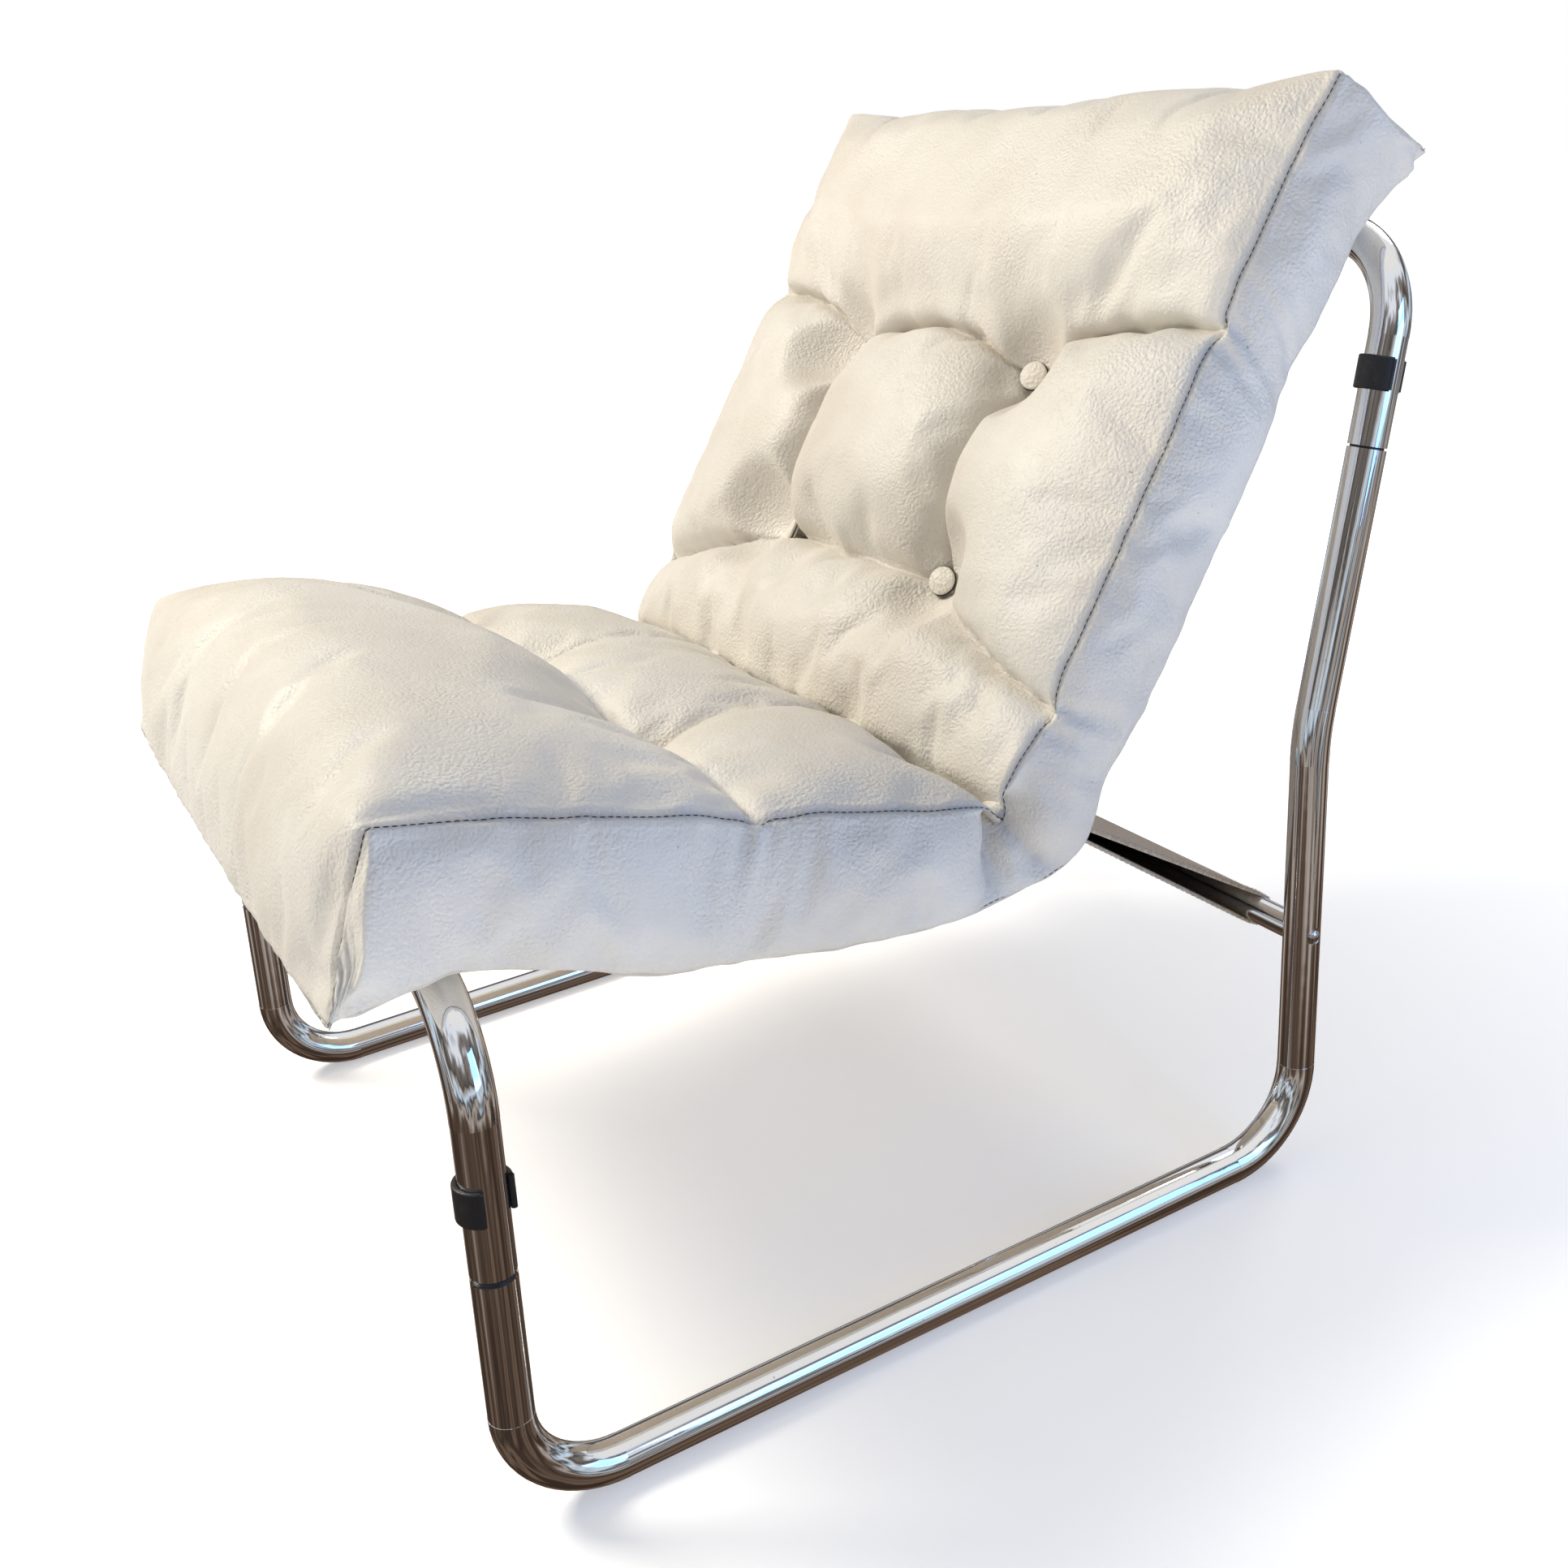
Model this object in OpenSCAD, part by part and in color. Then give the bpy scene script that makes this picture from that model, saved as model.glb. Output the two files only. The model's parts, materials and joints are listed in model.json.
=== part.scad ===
// Low lounge chair: two floor-runner side frames of bent tube, two bent crosspieces plugged into
// them, a canvas sling tied down to a lower bar, and one long tufted cushion laid on the sling.
// The origin is on the floor, midway between the side frames and midway between the feet.
// +X is the sitter's left, +Y is the rear, +Z is up.

/* [Frame] */
// Distance between the side frames, centre to centre
frame_w = 579; // [500:1:700]
// Distance between the front and rear feet on the floor, centre to centre
foot_span = 563; // [480:1:680]
// Outer diameter of the frame tube
tube_d = 25; // [20:0.5:30]
// Wall of the frame tube
tube_wall = 1.6; // [1.2:0.1:2]
// Height of the front crossbar's axis
front_bar_z = 310; // [270:1:380]
// Height of the top crossbar's axis
top_bar_z = 613; // [540:1:740]
// Lean of the front legs to the rear, in degrees
front_lean = 3.3; // [1:0.1:6]
// Lean of the rear legs below their kink, in degrees
rear_lean = 3.6; // [1:0.1:6]
// Lean of the rear legs above their kink, in degrees
back_lean = 15; // [10:0.5:20]
// Height of the kink in the rear legs
kink_z = 307; // [260:1:340]
// Centreline radius of the kink
kink_r = 180; // [120:5:240]
// Centreline radius of the front floor bends
front_bend_r = 55; // [45:1:75]
// Centreline radius of the rear floor bends
rear_bend_r = 62; // [45:1:75]
// Centreline radius of the crosspieces' corner bends
corner_bend_r = 62; // [45:1:75]

/* [Joints] */
// Height of the joints in the front legs
front_joint_z = 159; // [130:1:175]
// Height of the joints in the rear legs
rear_joint_z = 486.5; // [440:0.5:495]
// Open gap at the front joints
front_joint_gap = 3.5; // [1:0.5:5]
// Open gap at the rear joints
rear_joint_gap = 1.5; // [1:0.5:5]
// Depth of a spigot in the tube below its joint
spigot_down = 40; // [30:1:60]
// Depth of a spigot in the tube above its joint
spigot_up = 58; // [55:1:65]
// Radial clearance of a spigot in its tube
spigot_clear = 0.1; // [0.05:0.05:0.3]
// Height of a spring clip's centre above its joint, along the tube
clip_rise = 45.5; // [40:0.5:50]
// Height of a spring clip
clip_h = 21; // [16:1:26]
// Wall of a spring clip
clip_wall = 3; // [2:0.1:4]
// Mouth of a spring clip, in degrees
clip_mouth = 97; // [80:1:120]
// Turn of a clip's mouth from straight outboard towards the rear, in degrees
clip_turn = 27; // [0:1:45]
// Diameter of a clip's locking peg
peg_d = 5; // [4:0.5:6]
// Reach of a peg into its spigot
peg_reach = 4.5; // [3:0.5:6]

/* [Lower bar] */
// Height of the lower bar's axis
low_bar_z = 168.7; // [120:0.1:200]
// Outer diameter of the lower bar
low_bar_d = 19; // [16:0.5:22]
// Wall of the lower bar
low_bar_wall = 1.5; // [1:0.1:2]
// Length of an end plug that shows beyond the bar
plug_show = 17; // [12:1:24]
// Length of an end plug inside the bar
plug_in = 22; // [15:1:30]
// Diameter of the end bolts
bolt_d = 5; // [4:0.5:6]
// Length of the bolts below the head
bolt_len = 44; // [40:1:50]
// Diameter of the bolts' domed heads
bolt_head_d = 8.5; // [7:0.5:10]
// Height of the bolts' domed heads
bolt_head_h = 3; // [2:0.2:4]
// Diameter of the dimple pressed in the tube for a bolt head
dimple_d = 12; // [11:0.5:14]
// Depth of that dimple
dimple_depth = 1.2; // [0.6:0.1:1.4]

/* [Sling] */
// Gap from the canvas's edges to the bends of the crosspieces
sling_gap = 3; // [1:0.5:20]
// Gap from the tie panel's lower edge to the side frames
tie_gap = 29; // [24:1:60]
// Width of the tie panel where it meets the sling
tie_w = 344; // [260:1:400]
// Thickness of the canvas
canvas_t = 1.2; // [0.8:0.1:2]
// Height of the sling at its fold
fold_z = 262; // [240:1:290]
// Recline of the sling's back from upright, in degrees
recline = 34; // [28:0.5:38]
// Radius of the fold
fold_r = 60; // [40:5:80]
// Depth of the hem sleeves beyond their bars
hem = 42; // [30:1:60]

/* [Cushion] */
// Width of the cushion
cushion_w = 580; // [480:1:680]
// Height of the cushion's front edge above the front bar's axis
seat_rise = 106; // [90:1:120]
// Reach of the cushion in front of the front bar's axis
overhang = 62; // [40:1:75]
// Fall of the seat's face towards the rear, in degrees
seat_fall = 14.9; // [10:0.1:18]
// Thickness of the back
back_thick = 85; // [70:1:95]
// Length of the cushion's back above the top bar
head_rise = 46; // [20:1:60]
// Rise of the head end's front edge over its rear edge
head_puff = 6; // [0:1:12]
// Thickness of the leatherette cover
cover_t = 1.2; // [0.8:0.1:2]
// Gap between the cushion and the canvas
lie_gap = 0.5; // [0.3:0.1:1]
// Depth of the tufted channels in the back
back_tuft = 20; // [10:1:26]
// Height of the small flat in the crook above where the two faces cross
crook_rise = 4; // [2:0.5:8]
// Depth of the tufted channel in the seat
seat_tuft = 10; // [6:1:20]

/* [Tufting] */
// Distance between the two columns of buttons
button_pitch = 216; // [160:1:260]
// Diameter of a button
button_d = 19.5; // [16:0.5:22]
// Thickness of a button
button_t = 5; // [3:0.5:7]
// Diameter of a backing button
backer_d = 16; // [12:0.5:18]
// Thickness of a backing button
backer_t = 2; // [1.5:0.1:2.5]
// Diameter of a tuft tie
tie_d = 2; // [1.5:0.1:3]
// Distance of the upper row of buttons above the seat, along the back
row_top = 266; // [240:1:285]
// Distance of the lower row of buttons above the seat, along the back
row_low = 116; // [95:1:140]
// Distance of the seat's row of buttons from the back, along the seat
row_seat = 157; // [130:1:190]

/* [Hidden] */
$fn = 64;

CHROME = [0.80, 0.81, 0.83];
BLACK = [0.05, 0.05, 0.055];
CANVAS = [0.72, 0.66, 0.55];
CREAM = [0.87, 0.86, 0.82];
FOAM = [0.93, 0.86, 0.62];
TWINE = [0.85, 0.80, 0.70];

bend_swell = 0.3;   // how much wider the tube runs round a bend
run_lap = 1;        // how far a straight run reaches into its bend
cut = 1;            // how far a cutter passes a face
fit_gap = 0.2;      // diametral clearance of pegs and bolts in their holes
touch = 0.05;       // clearance of saddles and clips on a tube
wrap_gap = 0.3;     // clearance of the canvas round a bar
backer_sunk = 1.8;  // how far a backing button lies below the underside
arc_n = 8;          // facets of a rounded corner in the soft outlines

tube_bore = tube_d - 2 * tube_wall;
spigot_d = tube_bore - 2 * spigot_clear;
half_w = frame_w / 2;
sling_w = frame_w - 2 * (corner_bend_r + sling_gap);
tie_low_w = frame_w - tube_d - 2 * tie_gap;

// ---- lines of the side frame, as [y, z] ----
function front_y(z) = -foot_span / 2 + z * tan(front_lean);
function rear_y(z) = foot_span / 2 + min(z, kink_z) * tan(rear_lean)
                   + max(z - kink_z, 0) * tan(back_lean);
front_bar = [front_y(front_bar_z), front_bar_z];
top_bar = [rear_y(top_bar_z), top_bar_z];
low_bar = [rear_y(low_bar_z), low_bar_z];

// ---- plane geometry ----
function heading(p, q) = atan2(q[1] - p[1], q[0] - p[0]);
function wrapped(a) = a > 180 ? a - 360 : a < -180 ? a + 360 : a;
function turn(p, q, s) = wrapped(heading(q, s) - heading(p, q));
function ray(a, r = 1) = r * [cos(a), sin(a)];
function setback(p, q, s, r) = r * tan(abs(turn(p, q, s)) / 2);
function reversed(v) = [for (i = [len(v) - 1 : -1 : 0]) v[i]];
function part_of(v, a, b) = [for (i = [a : b]) v[i]];

// A corner at q between p and s, replaced by the points of an arc of radius r.
function corner(p, q, s, r) =
    let (a = heading(p, q), b = turn(p, q, s), side = sign(b),
         centre = q - ray(a, setback(p, q, s, r)) + ray(a + 90 * side, r))
    r == 0 ? [q] : [for (i = [0 : arc_n]) centre + ray(a - 90 * side + b * i / arc_n, r)];

// An open line of [y, z, radius] points with its inner corners rounded.
function rounded(v) = [for (i = [0 : len(v) - 1]) each
    i == 0 || i == len(v) - 1 ? [[v[i][0], v[i][1]]]
    : corner([v[i - 1][0], v[i - 1][1]], [v[i][0], v[i][1]], [v[i + 1][0], v[i + 1][1]], v[i][2])];

// The unit normal to the left of a line from p to q.
function left_of(p, q) = ray(heading(p, q) + 90);
function mitre(p, q, s, d) = let (m = left_of(p, q), n = left_of(q, s)) q + d * (m + n) / (1 + m * n);

// A line moved to its left by d. A closed line is mitred round its ends too.
function moved(v, d, closed = false) = let (n = len(v)) [for (i = [0 : n - 1])
    closed ? mitre(v[(i + n - 1) % n], v[i], v[(i + 1) % n], d)
    : i == 0 ? v[0] + d * left_of(v[0], v[1])
    : i == n - 1 ? v[i] + d * left_of(v[i - 1], v[i])
    : mitre(v[i - 1], v[i], v[i + 1], d)];

// Where the line from point f touches a circle of centre c and radius r; side is +1 or -1.
function touch_angle(c, r, f, side) = heading(c, f) + side * acos(r / norm(f - c));
function bezier(a, b, c, t) = (1 - t) * (1 - t) * a + 2 * t * (1 - t) * b + t * t * c;

// ---- the sling's middle line, as [y, z] ----
wrap_r = tube_d / 2 + wrap_gap + canvas_t / 2;
back_dir = ray(90 - recline);
back_touch = top_bar + ray(180 - recline, wrap_r);
fold_end_fall = 1;
fold_turn = 90 - recline + fold_end_fall;
fold_corner = back_touch - back_dir * (back_touch[1] - fold_z) / back_dir[1];
fold_set = fold_r * tan(fold_turn / 2);
fold_start = fold_corner - ray(-fold_end_fall, fold_set);
fold_centre = fold_start + ray(90 - fold_end_fall, fold_r);
function fold_at(t) = fold_centre + ray(-90 - fold_end_fall + fold_turn * t, fold_r);
sag_reach = (fold_start[0] - front_bar[0]) / 2;
sag_point = fold_start - ray(-fold_end_fall, sag_reach);
front_touch = front_bar + ray(touch_angle(front_bar, wrap_r, sag_point, 1), wrap_r);
seam_t = 0.65;      // where the tie panel is sewn, as a share of the fold
seam = fold_at(seam_t);
seat_line = concat([for (i = [0 : 12]) bezier(front_touch, sag_point, fold_start, i / 12)],
                   [for (i = [1 : 6]) fold_at(seam_t * i / 6)]);
back_line = concat([for (i = [0 : 4]) fold_at(seam_t + (1 - seam_t) * i / 4)], [back_touch]);
sling_line = concat(seat_line, part_of(back_line, 1, len(back_line) - 1));

// ---- the cushion's outline, as [y, z], from its lower front edge over the face ----
underside = moved(sling_line, canvas_t / 2 + lie_gap);
over_bar = front_bar + [0, wrap_r + canvas_t / 2 + lie_gap + 0.7];
under_front = front_bar + [-overhang, tube_d / 2 - 2];
head_rear = underside[len(underside) - 1] + back_dir * head_rise;
face_dir = ray(180 - seat_fall);
back_face = underside[len(underside) - 1] + ray(180 - recline, back_thick);
seat_front = [front_bar[0] - overhang + 34, front_bar_z + seat_rise];
// the two faces cross at the crook of the seat
function cross2(a, b) = a[0] * b[1] - a[1] * b[0];
crook = seat_front + face_dir * cross2(back_face - seat_front, back_dir) / cross2(face_dir, back_dir);
tuft_flat = button_d / 2 + 3.5;
tuft_side = tuft_flat + 24;
face_in_back = ray(-recline);
face_in_seat = ray(270 - seat_fall);
function channel(base, dir, inward, s, deep) = [
    for (k = [[-tuft_side, 0, 30], [-tuft_flat, 1, 8], [tuft_flat, 1, 8], [tuft_side, 0, 30]])
    concat(base + dir * (s + k[0]) + inward * deep * k[1], k[2])];
// the flat in the crook faces along the line from the crook to the start of the fold
fold_k = 11;
crook_in = ray(heading(crook, underside[fold_k]));
crook_along = ray(heading(crook, underside[fold_k]) + 90);
crook_mid = crook - crook_in * crook_rise;
face_corners = concat(
    [concat(under_front, 0), concat(seat_front + [-26, -54], 60), concat(seat_front, 24)],
    reversed(channel(crook, face_dir, face_in_seat, row_seat, seat_tuft)),
    [concat(crook_mid - crook_along * tuft_flat, 6), concat(crook_mid, 0),
     concat(crook_mid + crook_along * tuft_flat, 6)],
    channel(crook, back_dir, face_in_back, row_low, back_tuft),
    channel(crook, back_dir, face_in_back, row_top, back_tuft),
    [concat(head_rear + ray(180 - recline, back_thick) + back_dir * head_puff, 20),
     concat(head_rear, 0)]);
face_line = rounded(face_corners);
outline = concat(face_line, reversed(underside), [over_bar]);
inset = moved(outline, -cover_t, true);
face_n = len(face_line) - 1;
under_n = len(outline) - 1;
// the foam is split from the crook to the fold
crook_i = 1 + (arc_n + 1) * 7;
fold_i = face_n + len(underside) - fold_k;

// ---- tufting: each row is [face point, under point] ----
function in_back(s) = [crook + back_dir * s + face_in_back * back_tuft,
                       crook + back_dir * s + face_in_back * back_thick];
seat_top = crook + face_dir * row_seat + face_in_seat * seat_tuft;
// the seat's ties run square to its face and end where they meet the underside
seat_depth = seat_rise - wrap_r - seat_tuft;
seat_t = (seat_top[0] + face_in_seat[0] * seat_depth - front_touch[0]) / (fold_start[0] - front_touch[0]);
seat_below = bezier(front_touch, sag_point, fold_start, seat_t) + [0, canvas_t / 2 + lie_gap];
seat_foot = seat_top + face_in_seat * ((seat_below - seat_top) * face_in_seat);
crook_row = [crook_mid, crook_mid + crook_in * norm(inset[fold_i] - crook_mid)];
column_x = [-button_pitch / 2, button_pitch / 2];

// ---- helpers ----
// Places a plane drawing, [y, z], as an upright slab of width w about x = 0.
module slab(w) { rotate([90, 0, 90]) translate([0, 0, -w / 2]) linear_extrude(w) children(); }
module mirrored(s) { mirror([s < 0 ? 1 : 0, 0, 0]) children(); }
module strip(line, t, w) { slab(w) polygon(concat(moved(line, t / 2), reversed(moved(line, -t / 2)))); }

module run(p, q, d, before, after) {
    translate(p) rotate([0, 0, heading(p, q)]) rotate([0, 90, 0])
        translate([0, 0, -before]) cylinder(d = d, h = norm(q - p) + before + after);
}
module elbow(p, q, s, r, d) {
    a = heading(p, q);
    b = turn(p, q, s);
    side = sign(b);
    centre = q - ray(a, setback(p, q, s, r)) + ray(a + 90 * side, r);
    translate(centre) rotate([0, 0, side > 0 ? a - 90 : a + 90 + b])
        rotate_extrude(angle = abs(b)) translate([r, 0]) circle(d = d + bend_swell);
}
// A solid of round section along [x, y] points, with a bend of radii[i] at each inner point.
module rod(points, radii, d, over) {
    n = len(points);
    for (i = [0 : n - 2]) {
        a = i == 0 ? points[0] : points[i]
            + ray(heading(points[i], points[i + 1]), setback(points[i - 1], points[i], points[i + 1], radii[i]));
        b = i == n - 2 ? points[n - 1] : points[i + 1]
            - ray(heading(points[i], points[i + 1]), setback(points[i], points[i + 1], points[i + 2], radii[i + 1]));
        run(a, b, d, i == 0 ? over : run_lap, i == n - 2 ? over : run_lap);
    }
    for (i = [1 : n - 2]) elbow(points[i - 1], points[i], points[i + 1], radii[i], d);
}
module bent_tube(points, radii) {
    difference() {
        rod(points, radii, tube_d, 0);
        rod(points, radii, tube_bore, cut);
    }
}
// The frame of a leg: its origin at [y, z], its Z axis along the leg.
module on_leg(base, lean) { translate([half_w, base[0], base[1]]) rotate([-lean, 0, 0]) children(); }
module at_front_joint() { on_leg([front_y(front_joint_z), front_joint_z], front_lean) children(); }
module at_top_joint() { on_leg([rear_y(rear_joint_z), rear_joint_z], back_lean) children(); }
module at_low_bar() { translate([0, low_bar[0], low_bar[1]]) rotate([0, 90, 0]) children(); }

// ---- frame ----
module side_frame() {
    rail_z = tube_d / 2;
    stub = [front_y(front_joint_z), front_joint_z] - ray(90 - front_lean, front_joint_gap / 2);
    post = [rear_y(rear_joint_z), rear_joint_z] - ray(90 - back_lean, rear_joint_gap / 2);
    skin = half_w + tube_d / 2;
    color(CHROME) difference() {
        union() {
            translate([half_w, 0, 0]) rotate([90, 0, 90])
                bent_tube([stub, [front_y(rail_z), rail_z], [rear_y(rail_z), rail_z],
                           [rear_y(kink_z), kink_z], post],
                          [0, front_bend_r, rear_bend_r, kink_r, 0]);
            at_low_bar() translate([0, 0, skin - dimple_depth - tube_wall])
                cylinder(d = dimple_d - 3, h = tube_wall);
        }
        at_low_bar() translate([0, 0, skin - dimple_depth]) cylinder(d = dimple_d, h = dimple_depth + cut);
        at_low_bar() translate([0, 0, half_w - tube_d]) cylinder(d = bolt_d + fit_gap, h = 2 * tube_d);
    }
}

// A U of tube in a leg's plane: x across, y up the leg.
module crosspiece(low, high) {
    bent_tube([[-half_w, low], [-half_w, high], [half_w, high], [half_w, low]],
              [0, corner_bend_r, corner_bend_r, 0]);
}
module peg_hole(d, from, to) {
    translate([0, 0, clip_rise]) rotate([0, 0, clip_turn]) rotate([0, -90, 0])
        translate([0, 0, from]) cylinder(d = d, h = to - from);
}
module front_crosspiece() {
    high = (front_bar_z - front_joint_z) / cos(front_lean);
    color(CHROME) difference() {
        translate([0, front_y(front_joint_z), front_joint_z]) rotate([90 - front_lean, 0, 0])
            crosspiece(front_joint_gap / 2, high);
        for (s = [-1, 1]) mirrored(s) at_front_joint() peg_hole(peg_d + fit_gap, tube_bore / 2 - 2, tube_d);
    }
}
module top_crosspiece() {
    high = (top_bar_z - rear_joint_z) / cos(back_lean);
    color(CHROME) difference() {
        translate([0, rear_y(rear_joint_z), rear_joint_z]) rotate([90 - back_lean, 0, 0])
            crosspiece(rear_joint_gap / 2, high);
        for (s = [-1, 1]) mirrored(s) at_top_joint() peg_hole(peg_d + fit_gap, tube_bore / 2 - 2, tube_d);
    }
}

// ---- joints ----
module spigot() {
    chamfer = 1.5;
    color(BLACK) difference() {
        union() {
            translate([0, 0, -spigot_down]) cylinder(d1 = spigot_d - 2 * chamfer, d2 = spigot_d, h = chamfer);
            translate([0, 0, chamfer - spigot_down])
                cylinder(d = spigot_d, h = spigot_down + spigot_up - 2 * chamfer);
            translate([0, 0, spigot_up - chamfer])
                cylinder(d1 = spigot_d, d2 = spigot_d - 2 * chamfer, h = chamfer);
        }
        peg_hole(peg_d + fit_gap, spigot_d / 2 - peg_reach - 1, tube_d);
    }
}
function soft_box(w, h, r) = [for (k = [[1, 1, 0], [-1, 1, 90], [-1, -1, 180], [1, -1, 270]])
    for (i = [0 : 4]) [k[0] * (w / 2 - r), k[1] * (h / 2 - r)] + ray(k[2] + 22.5 * i, r)];
module spring_clip() {
    seat_r = tube_d / 2 + touch;
    mid_r = seat_r + clip_wall / 2;
    edge = 1.2;
    sweep = 360 - clip_mouth;
    color(BLACK) translate([0, 0, clip_rise]) rotate([0, 0, clip_turn]) {
        rotate([0, 0, clip_mouth / 2]) rotate_extrude(angle = sweep)
            translate([mid_r, 0]) polygon(soft_box(clip_wall, clip_h, edge));
        for (s = [-1, 1]) rotate([0, 0, s * clip_mouth / 2]) translate([mid_r + 0.3, 0, 1 - clip_h / 2])
            cylinder(d = clip_wall + 0.5, h = clip_h - 2);
        rotate([0, -90, 0]) translate([0, 0, spigot_d / 2 - peg_reach])
            cylinder(d = peg_d, h = peg_reach + tube_wall + spigot_clear + clip_wall / 2 + touch);
    }
}

// ---- lower bar ----
saddle = half_w - tube_d / 2;
module lower_bar() {
    l = 2 * (saddle - plug_show);
    color(CHROME) at_low_bar() difference() {
        translate([0, 0, -l / 2]) cylinder(d = low_bar_d, h = l);
        translate([0, 0, -l / 2 - cut]) cylinder(d = low_bar_d - 2 * low_bar_wall, h = l + 2 * cut);
    }
}
module lower_bar_plug() {
    inner = saddle - plug_show;
    color(CHROME) difference() {
        at_low_bar() {
            translate([0, 0, inner]) cylinder(d = low_bar_d, h = plug_show + low_bar_d / 2);
            translate([0, 0, inner - plug_in])
                cylinder(d = low_bar_d - 2 * low_bar_wall - 2 * touch, h = plug_in + run_lap);
        }
        on_leg([rear_y(0), 0], rear_lean) cylinder(d = tube_d + 2 * touch, h = 2 * low_bar_z);
        at_low_bar() translate([0, 0, inner - plug_in - cut])
            cylinder(d = bolt_d + fit_gap, h = plug_in + plug_show + low_bar_d);
    }
}
module lower_bar_bolt() {
    base = half_w + tube_d / 2 - dimple_depth;
    neck = 0.8;
    dome = [for (i = [0 : 8]) [bolt_head_d / 2 * cos(90 * i / 8), neck + (bolt_head_h - neck) * sin(90 * i / 8)]];
    color(CHROME) at_low_bar() {
        translate([0, 0, base - bolt_len]) cylinder(d = bolt_d, h = bolt_len + neck / 2);
        translate([0, 0, base]) rotate_extrude() polygon(concat([[0, 0], [bolt_head_d / 2, 0]], dome));
    }
}

// ---- sling ----
// A sleeve sewn round a bar, from the panel's own line at one end to where the hem meets it.
module sleeve(bar, from_angle, to_angle, meet) {
    n = 20;
    ring = concat([meet], [for (i = [0 : n]) bar + ray(from_angle + (to_angle - from_angle) * i / n, wrap_r)]);
    slab(sling_w) difference() {
        polygon(moved(ring, canvas_t / 2, true));
        polygon(moved(ring, -canvas_t / 2, true));
    }
}
module sling_seat() {
    meet = seat_line[1] + (seat_line[2] - seat_line[1]) * (hem - wrap_r) / 60;
    top = touch_angle(front_bar, wrap_r, meet, 1);
    under = touch_angle(front_bar, wrap_r, meet, -1) + 360;
    line = concat([meet], part_of(seat_line, 2, len(seat_line) - 1));
    color(CANVAS) {
        sleeve(front_bar, under, top, meet);
        strip(line, canvas_t, sling_w);
    }
}
module sling_back() {
    meet = back_touch - back_dir * hem;
    front = touch_angle(top_bar, wrap_r, meet, -1);
    rear = touch_angle(top_bar, wrap_r, meet, 1) - 360;
    line = concat(part_of(back_line, 0, len(back_line) - 2), [meet]);
    color(CANVAS) {
        sleeve(top_bar, front + 360, rear + 360, meet);
        strip(line, canvas_t, sling_w);
    }
}
module sling_tie() {
    r = low_bar_d / 2 + wrap_gap + canvas_t / 2;
    upper = touch_angle(low_bar, r, seam, -1);
    lower = touch_angle(low_bar, r, seam, 1) - 360;
    n = 16;
    away = heading(seam, low_bar) - 90;
    loop = concat([seam - ray(away, canvas_t * 0.6)],
                  [for (i = [0 : n]) low_bar + ray(upper + (lower - upper) * i / n, r)],
                  [seam + ray(away, canvas_t * 0.6)]);
    rear = low_bar[0] + low_bar_d;
    color(CANVAS) difference() {
        intersection() {
            strip(loop, canvas_t, tie_low_w + 2);
            linear_extrude(front_bar_z) polygon([[-tie_w / 2, seam[0] - canvas_t * 3],
                [tie_w / 2, seam[0] - canvas_t * 3], [tie_low_w / 2, low_bar[0]], [tie_low_w / 2, rear],
                [-tie_low_w / 2, rear], [-tie_low_w / 2, low_bar[0]]]);
        }
        strip(sling_line, canvas_t, sling_w + 4);
    }
}

// ---- cushion ----
module tuft_bores(d) {
    for (x = column_x) for (row = tuft_rows) along(x, row) translate([0, 0, -cut]) cylinder(d = d, h = 200);
}
// Z runs from the row's face point into the cushion.
module along(x, row) {
    translate([x, row[0][0], row[0][1]]) rotate([heading(row[0], row[1]) - 90, 0, 0]) children();
}
tuft_rows = [in_back(row_top), in_back(row_low), crook_row, [seat_top, seat_foot]];
function depth_of(row) = norm(row[1] - row[0]);
module backer_pockets() {
    for (x = column_x) for (row = tuft_rows) along(x, row)
        translate([0, 0, depth_of(row) - backer_t - 2 * backer_sunk]) cylinder(d = backer_d + 1, h = 30);
}
inner_w = cushion_w - 2 * cover_t;
module cushion_seat_foam() {
    color(FOAM) difference() {
        slab(inner_w) polygon(concat(part_of(inset, 0, crook_i), part_of(inset, fold_i, under_n)));
        tuft_bores(tie_d + fit_gap);
        backer_pockets();
    }
}
module cushion_back_foam() {
    color(FOAM) difference() {
        slab(inner_w) polygon(part_of(inset, crook_i, fold_i));
        tuft_bores(tie_d + fit_gap);
        backer_pockets();
    }
}
module cushion_face_panel() {
    color(CREAM) difference() {
        slab(inner_w) polygon(concat(part_of(outline, 0, face_n), reversed(part_of(inset, 0, face_n))));
        tuft_bores(tie_d + fit_gap);
    }
}
module cushion_under_panel() {
    color(CREAM) difference() {
        slab(inner_w) polygon(concat(part_of(outline, face_n, under_n), [outline[0], inset[0]],
                                     reversed(part_of(inset, face_n, under_n))));
        backer_pockets();
    }
}
module cushion_gusset() {
    color(CREAM) translate([(cushion_w - cover_t) / 2, 0, 0]) slab(cover_t) polygon(outline);
}
module tuft_buttons() {
    bevel = 1;
    color(CREAM) for (x = column_x) for (row = tuft_rows) along(x, row) difference() {
        translate([0, 0, -button_t]) rotate_extrude()
            polygon([[0, 0], [button_d / 2 - bevel, 0], [button_d / 2, bevel],
                     [button_d / 2, button_t], [0, button_t]]);
        translate([0, 0, -2]) cylinder(d = tie_d + fit_gap, h = 3);
    }
}
module tuft_backers() {
    color(BLACK) for (x = column_x) for (row = tuft_rows) along(x, row)
        translate([0, 0, depth_of(row) - backer_t - backer_sunk]) cylinder(d = backer_d, h = backer_t);
}
module tuft_ties() {
    color(TWINE) for (x = column_x) for (row = tuft_rows) along(x, row)
        translate([0, 0, -1.5]) cylinder(d = tie_d, h = depth_of(row) - backer_t - backer_sunk + 1.5);
}

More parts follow.
